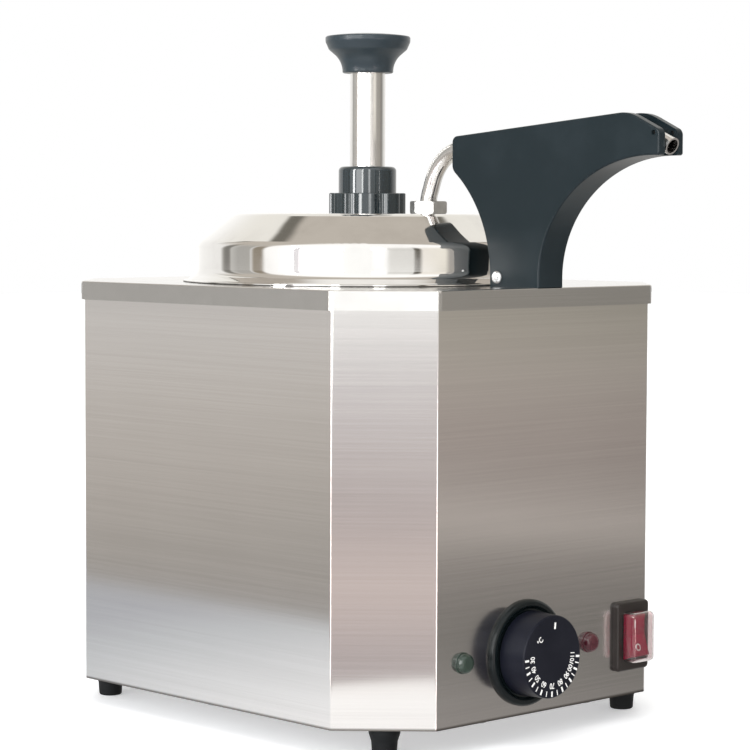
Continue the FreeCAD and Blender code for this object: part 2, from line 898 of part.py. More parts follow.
def make_bezel():
    """The black ring round the knob: a lip with a well rounded brow and a dished floor."""
    profile = [
        (boss_radius + screw_fit, 0),
        (bezel_radius, 0),
        (bezel_radius, bezel_height),
        (bezel_radius - bezel_lip, bezel_height),
        (bezel_radius - bezel_lip - bezel_floor, bezel_floor),
        (boss_radius + screw_fit, bezel_floor),
    ]
    brow = bezel_lip * bezel_brow_share
    bezel = turned(profile, [0, 0, brow, bezel_round, bezel_round / 2, 0])
    holes = [
        disc(thermostat_screw_radius + screw_fit, -overrun, bezel_floor + 2 * overrun, dx, dz)
        for dx, dz in thermostat_screw_places()
    ]
    return facing_front(bezel.cut(holes), thermostat_x)


def make_knob():
    """The dial knob: a hollow skirt, a flat face and a hub with a flat-sided bore."""
    profile = [
        (0, knob_lift),
        (knob_base_radius, knob_lift),
        (knob_face_radius, knob_face_reach),
        (0, knob_face_reach),
    ]
    knob = turned(profile, [0, knob_round / 2, knob_round, 0])
    roof = knob_face_reach - knob_face_thickness
    inside = knob_face_radius - knob_wall
    hollow = ring(inside, knob_hub_radius, knob_lift - overrun, roof - knob_lift + overrun)
    bore = shaft_section(knob_lift - overrun, shaft_reach + seat_gap, shaft_radius + screw_fit / 2)
    relief_top = shaft_step() + seat_gap
    relief = disc(knob_hub_radius + overrun, knob_lift - overrun, relief_top + overrun - knob_lift)
    return facing_front(knob.cut([hollow, bore, relief]), thermostat_x)


def shaft_step():
    """Where the shaft's round part ends and its flat begins, clear of the boss."""
    return boss_reach + 2 * seat_gap


def shaft_section(base, top, radius):
    """A round rod with one flat along its upper side."""
    rod = disc(radius, base, top - base)
    flat_y = shaft_radius - shaft_flat_depth
    flat = block(4 * radius, 2 * radius, top - base, 0, flat_y + radius, base)
    return rod.cut(flat)


def make_shaft():
    """The thermostat's shaft: round in its bearing, flat-sided in the knob."""
    plain = disc(shaft_radius, -shaft_depth, shaft_depth + shaft_step())
    flat = shaft_section(shaft_step(), shaft_reach, shaft_radius)
    return facing_front(plain.fuse(flat).removeSplitter(), thermostat_x)


def bulb_place():
    """Place of the sensing bulb's axis beside the well's wall, and the height of its foot."""
    away = well_opening_radius + well_sheet + bulb_radius + seat_gap
    angle = math.radians(bulb_angle)
    foot = plate_top - bulb_top_depth - bulb_length
    return -away * math.sin(angle), -away * math.cos(angle), foot


def make_bulb():
    """The sensing bulb and the capillary that joins it to the thermostat."""
    x, y, foot = bulb_place()
    bulb = turned(
        [(0, foot), (bulb_radius, foot), (bulb_radius, foot + bulb_length), (0, foot + bulb_length)],
        [0, bulb_radius / 2, bulb_radius / 2, 0], x, y,
    )
    back = thermostat_back_y()
    side = thermostat_x - thermostat_block_width / 2 + capillary_radius + seat_gap
    low = controls_z + thermostat_block_height / 2 - capillary_radius - seat_gap
    drop = foot - capillary_loop_drop
    points = [
        Vector(x, y, foot + bulb_radius),
        Vector(x, y, drop),
        Vector(side, back + capillary_loop_drop, drop),
        Vector(side, back + capillary_loop_drop, low),
        Vector(side, back, low),
    ]
    line = bent_tube(points, [capillary_bend / 2] * 3, capillary_radius)
    return bulb.fuse(line)


def thermostat_back_y():
    """The back of the thermostat's terminal block."""
    return front_y + casing_sheet + thermostat_plate_sheet + thermostat_can_depth + thermostat_block_depth


def make_bulb_clips():
    """Two clips welded to the well that hold the bulb."""
    x, y, foot = bulb_place()
    outer = bulb_radius + clip_wall
    clips = []
    for share in clip_height_shares:
        base = foot + bulb_length * share
        clip = disc(outer, base, clip_height, x, y)
        reach = math.hypot(x, y)
        foot_block = block(2 * outer + 2 * clip_wall, outer, clip_height, 0, -reach + outer / 2, base)
        foot_block.rotate(Vector(0, 0, 0), Vector(0, 0, 1), -bulb_angle)
        clip = clip.fuse(foot_block)
        clip = clip.cut(disc(bulb_radius + screw_fit, base - overrun, clip_height + 2 * overrun, x, y))
        clip = clip.cut(disc(well_opening_radius + well_sheet, base - overrun, clip_height + 2 * overrun))
        clips.append(clip)
    return Part.makeCompound(clips)


def make_switch_body():
    """The switch's frame on the panel and its body behind, with three blades and the rocker's well."""
    frame = rounded_block(switch_frame_width, switch_frame_height, 0, switch_frame_reach,
                          switch_frame_round, switch_frame_round / 2)
    body = block(switch_body_width, switch_body_height, switch_body_depth, 0, 0, -switch_body_depth)
    shape = frame.fuse(body)
    for i in (-1, 0, 1):
        blade = block(thermostat_blade_width, thermostat_blade_sheet, switch_blade_length, 0,
                      i * switch_blade_spacing, -switch_body_depth - switch_blade_length)
        shape = shape.fuse(blade)
    pivot = Vector(0, 0, pivot_level())
    well_side = Vector(rocker_width / 2 + rocker_gap, 0, 0)
    pin_end = Vector(rocker_width / 2 + rocker_pin_reach, 0, 0)
    well = lying(rocker_radius + rocker_gap, pivot - well_side, pivot + well_side)
    mouth = block(rocker_width + 2 * rocker_gap, 2 * (rocker_radius + rocker_gap),
                  switch_frame_reach - pivot_level() + overrun, 0, 0, pivot_level())
    floor = block(rocker_width + 4 * overrun, 3 * rocker_radius, rocker_radius,
                  0, 0, pivot_level() - rocker_floor_drop() - rocker_radius)
    pin = lying(rocker_pin_radius + shaft_fit, pivot - pin_end, pivot + pin_end)
    shape = shape.cut([well.cut(floor), mouth, pin])
    return facing_front(shape.removeSplitter(), switch_x)


def pivot_level():
    """The rocker's pivot, measured from the panel's face."""
    return switch_frame_reach - rocker_pivot_depth


def rocker_floor_drop():
    """Depth of the rocker's well under its pivot, clear of the rocker's tilted back."""
    tilt = math.radians(rocker_swing)
    return rocker_back * math.cos(tilt) + rocker_radius * math.sin(tilt) + rocker_gap


def make_rocker():
    """The rocker, turned to its off stop: round ends, a shallow vee face and two pivot pins."""
    tilt = math.tan(math.radians(rocker_swing))
    rise = rocker_radius * tilt
    outline = [
        (-rocker_radius, -rocker_back),
        (rocker_radius, -rocker_back),
        (rocker_radius, rocker_crest + rise),
        (0, rocker_crest),
        (-rocker_radius, rocker_crest + rise),
    ]
    points = [Vector(-rocker_width / 2, y, z) for y, z in outline]
    prism = Part.Face(Part.makePolygon(points + points[:1])).extrude(Vector(rocker_width, 0, 0))
    side = Vector(rocker_width / 2, 0, 0)
    drum = lying(rocker_radius, side * -1, side)
    pin_end = Vector(rocker_width / 2 + rocker_pin_reach - seat_gap / 2, 0, 0)
    pins = lying(rocker_pin_radius, pin_end * -1, pin_end)
    rocker = prism.common(drum).fuse(pins).removeSplitter()
    rocker.rotate(Vector(0, 0, 0), Vector(1, 0, 0), -rocker_swing)
    rocker.translate(Vector(0, 0, pivot_level()))
    return facing_front(rocker, switch_x)


def make_switch_cover():
    """The clear cover over the rocker, a thin box with well rounded edges, open at the back."""
    rise = cover_reach - switch_frame_reach
    outer = rounded_block(cover_width, cover_height, switch_frame_reach, rise, cover_round,
                          rise * cover_edge_share)
    inner = rounded_block(cover_width - 2 * cover_wall, cover_height - 2 * cover_wall,
                          switch_frame_reach - overrun, rise + overrun - cover_wall,
                          cover_round - cover_wall, (rise - cover_wall) * cover_edge_share)
    return facing_front(outer.cut(inner), switch_x)


def make_terminal_block():
    """A mains terminal strip on the base plate, with ribs between its ways."""
    place = (terminal_x, terminal_y)
    shape = block(terminal_width, terminal_depth, terminal_height, place[0], place[1], base_top)
    pitch = (terminal_width - terminal_rib_width) / terminal_ways
    tools = []
    for i in range(terminal_ways + 1):
        x = place[0] - terminal_width / 2 + terminal_rib_width / 2 + i * pitch
        rib = block(terminal_rib_width, terminal_depth, terminal_rib_height, x, place[1],
                    base_top + terminal_height)
        shape = shape.fuse(rib)
        if i < terminal_ways:
            for side in (-1, 1):
                y = place[1] + side * terminal_depth / 4
                depth = terminal_height / 2
                tools.append(disc(terminal_screw_radius, base_top + depth, depth + overrun, x + pitch / 2, y))
    return shape.cut(tools).removeSplitter()


def earth_place():
    """Place of the earth stud on the base plate."""
    return earth_x, terminal_y


def make_earth_stud():
    """The earth stud with its nut, through the base plate."""
    x, y = earth_place()
    stud = disc(earth_stud_radius, base_floor, earth_stud_height, x, y)
    nut = hexagon(earth_nut_flats, base_top, earth_nut_height, x, y)
    return stud.fuse(nut)


def bored(shape, start, end):
    """A gland piece with the cable's bore along its axis."""
    return shape.cut(disc(gland_bore_radius, start - overrun, end - start + 2 * overrun))


def make_gland():
    """The cable gland's body: hexagon outside, thread through the back panel, and the neck for its cap."""
    depth = casing_sheet + gland_thread_depth
    shape = hexagon(gland_flats, 0, gland_hex_height)
    shape = shape.fuse(disc(gland_thread_radius, -depth, depth + gland_hex_height + gland_neck_reach))
    shape = bored(shape, -depth, gland_hex_height + gland_neck_reach)
    return facing_back(shape.removeSplitter(), gland_x, casing_floor + gland_height)


def make_gland_nut():
    """The gland's domed cap."""
    base = gland_hex_height
    tip = gland_nut_reach
    outer = turned(
        [(0, base), (gland_nut_radius, base), (gland_nut_radius, tip), (0, tip)],
        [0, 0, gland_nut_round, 0],
    )
    grips = []
    for i in range(gland_grips):
        angle = math.radians(360 * i / gland_grips)
        x = (gland_nut_radius + gland_grip_radius / 2) * math.cos(angle)
        y = (gland_nut_radius + gland_grip_radius / 2) * math.sin(angle)
        grips.append(disc(gland_grip_radius, base + gland_hex_height / 2, tip, x, y))
    socket = disc(gland_thread_radius + screw_fit, base - overrun, gland_neck_reach + seat_gap + overrun)
    return facing_back(bored(outer.cut([socket] + grips), base, tip), gland_x, casing_floor + gland_height)


def make_gland_lock_nut():
    """The nut that holds the gland from inside."""
    base = -casing_sheet - gland_lock_height
    shape = hexagon(gland_flats, base, gland_lock_height)
    shape = shape.cut(disc(gland_thread_radius + screw_fit, base - overrun, gland_lock_height + 2 * overrun))
    return facing_back(shape, gland_x, casing_floor + gland_height)


def spout_point(forward, height, x=0):
    """A point of the spout, from its distance forward of the pump's axis and its height over the plate."""
    return Vector(x, -forward, plate_top + height)


def throat_meets(inset):
    """Height over the plate at which the throat's arc meets the housing's upright back."""
    across = housing_back + inset - (housing_foot_back - throat_radius)
    return housing_toe + math.sqrt((throat_radius + inset) ** 2 - across ** 2)


def housing_outline(inset, x):
    """The housing's side view as a face: toe, arch, nose, crown, back and the throat that clears the lid."""
    back = housing_back + inset
    throat = throat_radius + inset
    throat_centre = housing_foot_back - throat_radius
    meet = throat_meets(inset)
    toe_front = housing_foot_front - inset
    arch_width = housing_arch_end - toe_front
    arch_height = housing_nose_bottom + inset - housing_toe
    slope = (housing_crown_top - housing_back_top) / (housing_crown - housing_back)
    top_back = housing_back_top - inset + slope * inset
    foot_back = throat_centre + throat
    centre = spout_point(housing_arch_end, housing_toe, x)
    if arch_width >= arch_height:
        arch = Part.Ellipse(centre + Vector(0, arch_width, 0), centre + Vector(0, 0, arch_height), centre)
    else:
        arch = Part.Ellipse(centre + Vector(0, 0, arch_height), centre + Vector(0, arch_width, 0), centre)
    toe = spout_point(toe_front, housing_toe, x)
    brow = spout_point(housing_arch_end, housing_nose_bottom + inset, x)
    first = arch.parameter(toe)
    last = arch.parameter(brow)
    arch_edge = arch_between(arch, first, last)
    middle_angle = math.atan2(meet - housing_toe, back - throat_centre) / 2
    middle = spout_point(throat_centre + throat * math.cos(middle_angle),
                         housing_toe + throat * math.sin(middle_angle), x)
    corners = [
        brow,
        spout_point(housing_nose - inset, housing_nose_bottom + inset, x),
        spout_point(housing_nose - inset, housing_nose_top - inset, x),
        spout_point(housing_crown - inset / 2, housing_crown_top - inset, x),
        spout_point(back, top_back, x),
        spout_point(back, meet, x),
    ]
    edges = [Part.LineSegment(a, b).toShape() for a, b in zip(corners, corners[1:])]
    edges.append(Part.Arc(corners[-1], middle, spout_point(foot_back, housing_toe, x)).toShape())
    foot = [
        spout_point(foot_back, housing_toe, x),
        spout_point(foot_back, 0, x),
        spout_point(toe_front, 0, x),
        toe,
    ]
    edges += [Part.LineSegment(a, b).toShape() for a, b in zip(foot, foot[1:])]
    edges.append(arch_edge)
    return Part.Face(Part.Wire(Part.__sortEdges__(edges)))


def arch_between(curve, first, last):
    """The quarter of the ellipse between two of its parameters, whichever way round is the shorter."""
    turn = 2 * math.pi
    span = (last - first) % turn
    if span <= math.pi:
        return Part.Edge(curve, first, first + span)
    return Part.Edge(curve, last, last + (turn - span))


def edge_through(shape, place):
    """The edges that run across the housing at one corner of its side view."""
    found = []
    for edge in shape.Edges:
        ends = [v.Point for v in edge.Vertexes]
        if len(ends) == 2 and abs(ends[0].x - ends[1].x) > housing_width / 2:
            if all(math.hypot(p.y - place.y, p.z - place.z) < seat_gap for p in ends):
                found.append(edge)
    return found


def tube_corners():
    """The corners of the discharge tube's path, from the valve to the tip."""
    return [
        Vector(0, -tube_rise, tube_foot_level()),
        spout_point(tube_rise, tube_lean_height),
        spout_point(tube_crest_forward, tube_crest_height),
        spout_point(tube_dip_forward, tube_dip_height),
        spout_point(tube_end_forward, tube_end_height),
    ]


def make_housing():
    """The moulded spout housing: rounded outline, open channel for the tube, bar pocket and hollow foot."""
    half = housing_width / 2
    solid = housing_outline(0, -half).extrude(Vector(housing_width, 0, 0))
    rounds = [
        (spout_point(housing_crown, housing_crown_top), crown_round),
        (spout_point(housing_back, housing_back_top), back_round),
        (spout_point(housing_back, throat_meets(0)), throat_round),
        (spout_point(housing_nose, housing_nose_top), nose_round),
        (spout_point(housing_nose, housing_nose_bottom), nose_lip_round),
    ]
    for place, radius in rounds:
        solid = solid.makeFillet(radius, edge_through(solid, place))
    rim = []
    for edge in solid.Edges:
        across = [abs(abs(v.X) - half) < seat_gap for v in edge.Vertexes]
        flat = max(v.X for v in edge.Vertexes) - min(v.X for v in edge.Vertexes) < seat_gap
        on_plate = all(v.Z < plate_top + seat_gap for v in edge.Vertexes)
        if all(across) and flat and not on_plate:
            rim.append(edge)
    solid = solid.makeFillet(housing_edge_round, rim)
    cavity = housing_outline(housing_wall, -cheek_inner).extrude(Vector(2 * cheek_inner, 0, 0))
    keep = Part.makeBox(2 * housing_width, 2 * housing_nose, cavity_height + overrun,
                        Vector(-housing_width, -2 * housing_nose, plate_top - overrun))
    tools = [cavity.common(keep), channel(), bar_space(channel_gap)]
    lead_rise = housing_nose_bottom - cavity_height
    tools.append(disc(lead_hole_radius, plate_top + cavity_height - overrun, lead_rise, 0, grommet_y()))
    front, back = cavity_ends()
    middle = (front + back) / 2
    tools.append(block(2 * cheek_inner, back - front, 2 * overrun, 0, middle, plate_top - overrun))
    aside = Vector(housing_width, 0, 0)
    x, y, z = housing_screw_place()
    screw = Vector(0, y, z)
    tools.append(lying(housing_screw_radius + screw_fit, screw - aside, screw + aside))
    drain = spout_point(housing_nose - nose_hole_back, housing_nose_top - nose_hole_drop)
    tools.append(lying(nose_hole_radius, drain - aside, drain + aside))
    return solid.cut(tools)


def channel():
    """The open-topped channel that the tube lies in, following the tube's underside to the nose."""
    _, _, crest, dip, end = [(-p.y, p.z) for p in tube_corners()]
    slope = (dip[1] - crest[1]) / (dip[0] - crest[0])
    start = (housing_back - housing_width, crest[1] + slope * (housing_back - housing_width - crest[0]))
    fall = (end[1] - dip[1]) / (end[0] - dip[0])
    finish = (housing_nose + housing_width, dip[1] + fall * (housing_nose + housing_width - dip[0]))
    floor = offset_line([start, dip, finish], -cheek_inner)
    sky = plate_top + 2 * housing_crown_top
    points = [Vector(-cheek_inner, -f, z) for f, z in floor]
    edges = rounded_edges(points, [tube_dip_bend - cheek_inner])
    top = [Vector(-cheek_inner, points[-1].y, sky), Vector(-cheek_inner, points[0].y, sky)]
    loop = [points[-1], top[0], top[1], points[0]]
    edges += [Part.LineSegment(a, b).toShape() for a, b in zip(loop, loop[1:])]
    space = Part.Face(Part.Wire(Part.__sortEdges__(edges))).extrude(Vector(2 * cheek_inner, 0, 0))
    mouth = Part.makeBox(2 * cheek_inner, housing_nose, housing_crown_top,
                         Vector(-cheek_inner, -nose_floor_end - housing_nose, plate_top + cavity_height))
    return space.fuse(mouth)


def along_spout(shape):
    """Turn a piece modelled level at the tube's height so that it follows the spout's slope."""
    crest = spout_point(tube_crest_forward, tube_crest_height)
    sloped = shape.copy()
    sloped.rotate(crest, Vector(1, 0, 0), -math.degrees(spout_slope))
    return sloped


def bar_space(play):
    """The heat bar's block, or with play the pocket that holds it."""
    centre = plate_top + tube_crest_height
    width = 2 * (cheek_inner - channel_gap + play)
    length = bar_end - bar_start + 2 * play
    base = centre - tube_radius - bar_depth - play
    height = tube_radius + bar_depth - bar_lip + 2 * play
    return along_spout(block(width, length, height, 0, -(bar_start + bar_end) / 2, base))


def make_heat_bar():
    """The aluminium bar under the tube, with a round groove on top and the heater's bore below."""
    centre = plate_top + tube_crest_height
    bar = bar_space(0)
    start = Vector(0, -bar_start + overrun, centre)
    end = Vector(0, -bar_end - overrun, centre)
    groove = along_spout(lying(tube_radius + channel_gap / 2, start, end))
    drop = Vector(0, 0, -(tube_radius + cartridge_depth))
    bore = along_spout(lying(cartridge_radius + screw_fit, start + drop, end + drop))
    return bar.cut([groove, bore])


def make_cartridge():
    """The cartridge heater in the heat bar."""
    level = plate_top + tube_crest_height - tube_radius - cartridge_depth
    start = Vector(0, -bar_start - cartridge_inset, level)
    end = Vector(0, -bar_end + cartridge_inset, level)
    return along_spout(lying(cartridge_radius, start, end))


def cavity_ends():
    """Front and back of the foot's cavity at the top plate."""
    return -(housing_foot_front - housing_wall), -(housing_foot_back + housing_wall)


def bracket_screw_ys():
    """The bracket's two screws, near the front and the back of the foot."""
    front, back = cavity_ends()
    return [front + bracket_screw_inset, back - bracket_screw_inset]


def grommet_y():
    """Place of the hole for the spout heater's lead."""
    front, back = cavity_ends()
    return (front + back) / 2


def housing_screw_place():
    """The housing's side screws."""
    return housing_width / 2, -(housing_foot_back + housing_screw_forward), plate_top + housing_screw_height


def make_bracket():
    """The steel bracket in the housing's foot: a base on the top plate and two upright cheeks."""
    front, back = cavity_ends()
    length = back - front - 2 * bracket_play
    middle = (front + back) / 2
    outer = block(2 * cheek_inner, length, bracket_height, 0, middle, plate_top)
    inner = block(2 * (cheek_inner - bracket_sheet), length + 2 * overrun, bracket_height, 0, middle,
                  plate_top + bracket_sheet)
    outline = housing_outline(housing_wall + bracket_play, -cheek_inner)
    bracket = outer.cut(inner).common(outline.extrude(Vector(2 * cheek_inner, 0, 0)))
    through = bracket_sheet + 2 * overrun
    tools = []
    for y in bracket_screw_ys():
        tools.append(disc(bracket_screw_radius + screw_fit, plate_top - overrun, through, 0, y))
    tools.append(disc(grommet_neck_radius + screw_fit, plate_top - overrun, through, 0, grommet_y()))
    x, y, z = housing_screw_place()
    tools.append(lying(housing_screw_radius + screw_fit, Vector(-x, y, z), Vector(x, y, z)))
    return bracket.cut(tools)


def make_bracket_screws():
    """Two screws driven up through the top plate into the bracket."""
    length = plate_sheet + bracket_sheet + overrun
    screw = pan_screw(bracket_screw_radius, bracket_screw_head_radius, bracket_screw_head_height, length)
    return placed_copies(screw, [Vector(0, y, plate_under) for y in bracket_screw_ys()])


def make_housing_screws():
    """Dome-headed screws through the housing's sides into the bracket."""
    x, y, z = housing_screw_place()
    length = x - cheek_inner + 2 * bracket_sheet
    screw = pan_screw(housing_screw_radius, housing_screw_head_radius, housing_screw_head_height, length)
    left = screw.copy()
    left.rotate(Vector(0, 0, 0), Vector(0, 1, 0), 90)
    left.translate(Vector(-x, y, z))
    right = screw.copy()
    right.rotate(Vector(0, 0, 0), Vector(0, 1, 0), -90)
    right.translate(Vector(x, y, z))
    return Part.makeCompound([left, right])


def make_grommet():
    """The rubber bush for the spout heater's lead, through the top plate and the bracket."""
    top = plate_top + bracket_sheet
    profile = [
        (grommet_bore_radius, plate_under - grommet_flange),
        (grommet_radius, plate_under - grommet_flange),
        (grommet_radius, plate_under),
        (grommet_neck_radius, plate_under),
        (grommet_neck_radius, top),
        (min(grommet_radius, cheek_inner - bracket_sheet - screw_fit), top),
        (min(grommet_radius, cheek_inner - bracket_sheet - screw_fit), top + grommet_flange),
        (grommet_bore_radius, top + grommet_flange),
    ]
    return turned(profile, x=0, y=grommet_y())


def make_lid():
    """The polished lid: flared brim, upright wall, sloping shoulder and flat top with two holes."""
    line = [
        (lid_brim_radius, plate_top + lid_sheet),
        (lid_brim_radius - lid_brim_lip, plate_top + lid_sheet),
        (lid_wall_radius, plate_top + lid_brim_rise + lid_sheet),
        (lid_wall_radius, plate_top + lid_shoulder_height),
        (lid_top_radius, lid_top),
        (0, lid_top),
    ]
    lid = pressed(line, [lid_brim_bend, lid_brim_bend, lid_shoulder_bend, lid_top_bend], lid_sheet)
    through = lid_sheet + 2 * overrun
    tools = [
        disc(cylinder_radius + screw_fit, lid_under - overrun, through),
        disc(sleeve_radius + screw_fit, lid_under - overrun, through, 0, -tube_rise),
    ]
    return lid.cut(tools)


def make_lock_nut():
    """The lobed lock nut on the lid, screwed on the cylinder's neck."""
    nut = turned(
        [(0, lid_top), (lock_nut_radius, lid_top), (lock_nut_radius, nut_top), (0, nut_top)],
    )
    cuts = []
    for i in range(lock_nut_lobes):
        angle = math.radians(360 * (i + 0.5) / lock_nut_lobes)
        away = lock_nut_radius + lobe_cut_radius * lobe_cut_share
        cuts.append(disc(lobe_cut_radius, lid_top - overrun, lock_nut_height + 2 * overrun,
                         away * math.cos(angle), away * math.sin(angle)))
    nut = nut.cut(cuts)
    upright = [e for e in nut.Edges if abs(e.Vertexes[0].Z - e.Vertexes[-1].Z) > lock_nut_height / 2]
    nut = nut.makeFillet(lobe_round, upright)
    upper = [e for e in nut.Edges if min(v.Z for v in e.Vertexes) > nut_top - seat_gap]
    nut = nut.makeFillet(lobe_round / 2, upper)
    return nut.cut(disc(cylinder_radius + thread_fit, lid_top - overrun, lock_nut_height + 2 * overrun))


def make_cap():
    """The guide cap over the cylinder's neck, bored for the plunger."""
    inner = cylinder_radius + thread_fit
    guide = plunger_radius + plunger_fit
    profile = [
        (inner, nut_top),
        (cap_radius, nut_top),
        (cap_radius, cap_top),
        (guide, cap_top),
        (guide, cap_ceiling),
        (inner, cap_ceiling),
    ]
    return turned(profile, [0, 0, cap_round, 0, 0, 0])


def make_cylinder():
    """The pump's cylinder, a steel tube with a flange under the lid."""
    top = cap_ceiling - screw_fit
    outer = disc(cylinder_radius, cylinder_floor, top - cylinder_floor)
    flange = disc(cylinder_flange_radius, lid_under - cylinder_flange_height, cylinder_flange_height)
    bore = disc(cylinder_bore, cylinder_floor - overrun, top - cylinder_floor + 2 * overrun)
    return outer.fuse(flange).cut(bore).removeSplitter()


def seated_ball(bore, chamber, rise, radius):
    """How far a ball's centre lies above the lower edge of a conical seat."""
    slope = math.atan2(chamber - bore, rise)
    return (radius + ball_gap) / math.sin(slope) - bore / math.tan(slope)


def seat_base():
    """Height of the inlet seat's lower edge."""
    return valve_bottom + valve_floor


def chamber_radius():
    """Radius of the valve's chamber round the inlet ball."""
    return ball_radius + valve_round + overrun


def ball_level():
    """Height of the inlet ball's centre on its conical seat."""
    return seat_base() + seated_ball(valve_inlet_radius, chamber_radius(), valve_seat_height, ball_radius)


def outlet_bore():
    """Radius of the passage through the valve's arm."""
    return tube_radius - 2 * tube_wall


def outlet_chamber():
    """Radius of the chamber round the outlet ball."""
    return outlet_ball_radius + elbow_chamber_gap


def outlet_seat():
    """Height of the outlet seat's lower edge."""
    return outlet_z + outlet_seat_lift


def outlet_ball_level():
    """Height of the outlet ball's centre on its conical seat."""
    rise = outlet_chamber() - outlet_bore()
    return outlet_seat() + seated_ball(outlet_bore(), outlet_chamber(), rise, outlet_ball_radius)


def tube_foot_level():
    """Height of the discharge tube's lower end, over the outlet ball's chamber."""
    return outlet_seat() + elbow_chamber_height


def make_valve():
    """The foot valve: a body with the inlet seat and socket, an arm, and an elbow with the outlet seat."""
    body = turned(
        [(0, valve_bottom), (valve_radius, valve_bottom), (valve_radius, valve_top), (0, valve_top)],
        [0, valve_round, 0, 0],
    )
    arm = lying(arm_radius, Vector(0, 0, outlet_z), Vector(0, -tube_rise, outlet_z))
    elbow_top = tube_foot_level() + tube_socket
    elbow = turned([
        (0, outlet_z - elbow_radius),
        (elbow_radius, outlet_z - elbow_radius),
        (elbow_radius, elbow_top),
        (0, elbow_top),
    ], [0, elbow_radius / 2, valve_round / 2, 0], y=-tube_rise)
    passage = turned([
        (0, valve_bottom - overrun),
        (valve_inlet_radius, valve_bottom - overrun),
        (valve_inlet_radius, seat_base()),
        (chamber_radius(), seat_base() + valve_seat_height),
        (chamber_radius(), cylinder_floor + overrun),
        (0, cylinder_floor + overrun),
    ])
    rising = turned([
        (0, outlet_z),
        (outlet_bore(), outlet_z),
        (outlet_bore(), outlet_seat()),
        (outlet_chamber(), outlet_seat() + outlet_chamber() - outlet_bore()),
        (outlet_chamber(), tube_foot_level()),
        (0, tube_foot_level()),
    ], y=-tube_rise)
    socket = disc(cylinder_radius + thread_fit, cylinder_floor, valve_socket + overrun)
    tube_seat = disc(tube_radius + thread_fit, tube_foot_level(), tube_socket + overrun, 0, -tube_rise)
    outlet = lying(outlet_bore(), Vector(0, 0, outlet_z), Vector(0, -tube_rise, outlet_z))
    pin = lying(cage_pin_radius + screw_fit / 2, Vector(-2 * valve_radius, 0, cage_level()),
                Vector(2 * valve_radius, 0, cage_level()))
    valve = body.multiFuse([arm, elbow]).cut([passage, rising, socket, tube_seat, outlet, pin])
    return valve.removeSplitter()


def cage_level():
    """Height of the pin that stops the ball."""
    return ball_level() + ball_radius + ball_lift + cage_pin_radius


def make_cage_pin():
    """The cross pin that keeps the ball in the valve."""
    return lying(cage_pin_radius, Vector(-valve_radius + seat_gap, 0, cage_level()),
                 Vector(valve_radius - seat_gap, 0, cage_level()))


def make_inlet_ball():
    """The ball on the inlet seat."""
    return Part.makeSphere(ball_radius, Vector(0, 0, ball_level()))


def make_outlet_ball():
    """The ball on the outlet seat, kept in by the tube's end."""
    return Part.makeSphere(outlet_ball_radius, Vector(0, -tube_rise, outlet_ball_level()))


def make_discharge_tube():
    """The bent steel tube from the valve, up through the lid and along the spout to its tip."""
    bends = [tube_lean_bend, tube_crest_bend, tube_dip_bend]
    return bent_tube(tube_corners(), bends, tube_radius, tube_radius - tube_wall)


def make_sleeve():
    """The threaded sleeve on the tube, its flange under the lid."""
    flange_top = lid_under
    base = flange_top - sleeve_drop
    flange_base = flange_top - sleeve_flange_height
    profile = [
        (tube_radius + thread_fit, base),
        (sleeve_radius, base),
        (sleeve_radius, flange_base),
        (sleeve_flange_radius, flange_base),
        (sleeve_flange_radius, flange_top),
        (sleeve_radius, flange_top),
        (sleeve_radius, lid_top + sleeve_reach),
        (tube_radius + thread_fit, lid_top + sleeve_reach),
    ]
    return turned(profile, x=0, y=-tube_rise)


def make_tube_nut():
    """The hexagon nut on the lid that clamps the sleeve."""
    nut = hexagon(tube_nut_flats, lid_top, tube_nut_height, 0, -tube_rise)
    depth = sleeve_reach + screw_fit
    lower = disc(sleeve_radius + thread_fit, lid_top - overrun, depth + overrun, 0, -tube_rise)
    upper = disc(tube_radius + tube_wall, lid_top, tube_nut_height + overrun, 0, -tube_rise)
    return nut.cut([lower, upper])


def make_plunger_tube():
    """The plunger's polished tube, with a bead that stops it under the cap."""
    top = knob_bottom + pump_knob_socket
    tube = ring(plunger_radius, plunger_radius - plunger_wall, piston_top, top - piston_top)
    bead_top = cap_ceiling - seat_gap
    bead = turned(
        [
            (plunger_radius, bead_top - stop_bead_height),
            (stop_bead_radius, bead_top - stop_bead_height),
            (stop_bead_radius, bead_top),
            (plunger_radius, bead_top),
        ],
        [0, stop_bead_height / 4, stop_bead_height / 4, 0],
    )
    return tube.fuse(bead).removeSplitter()


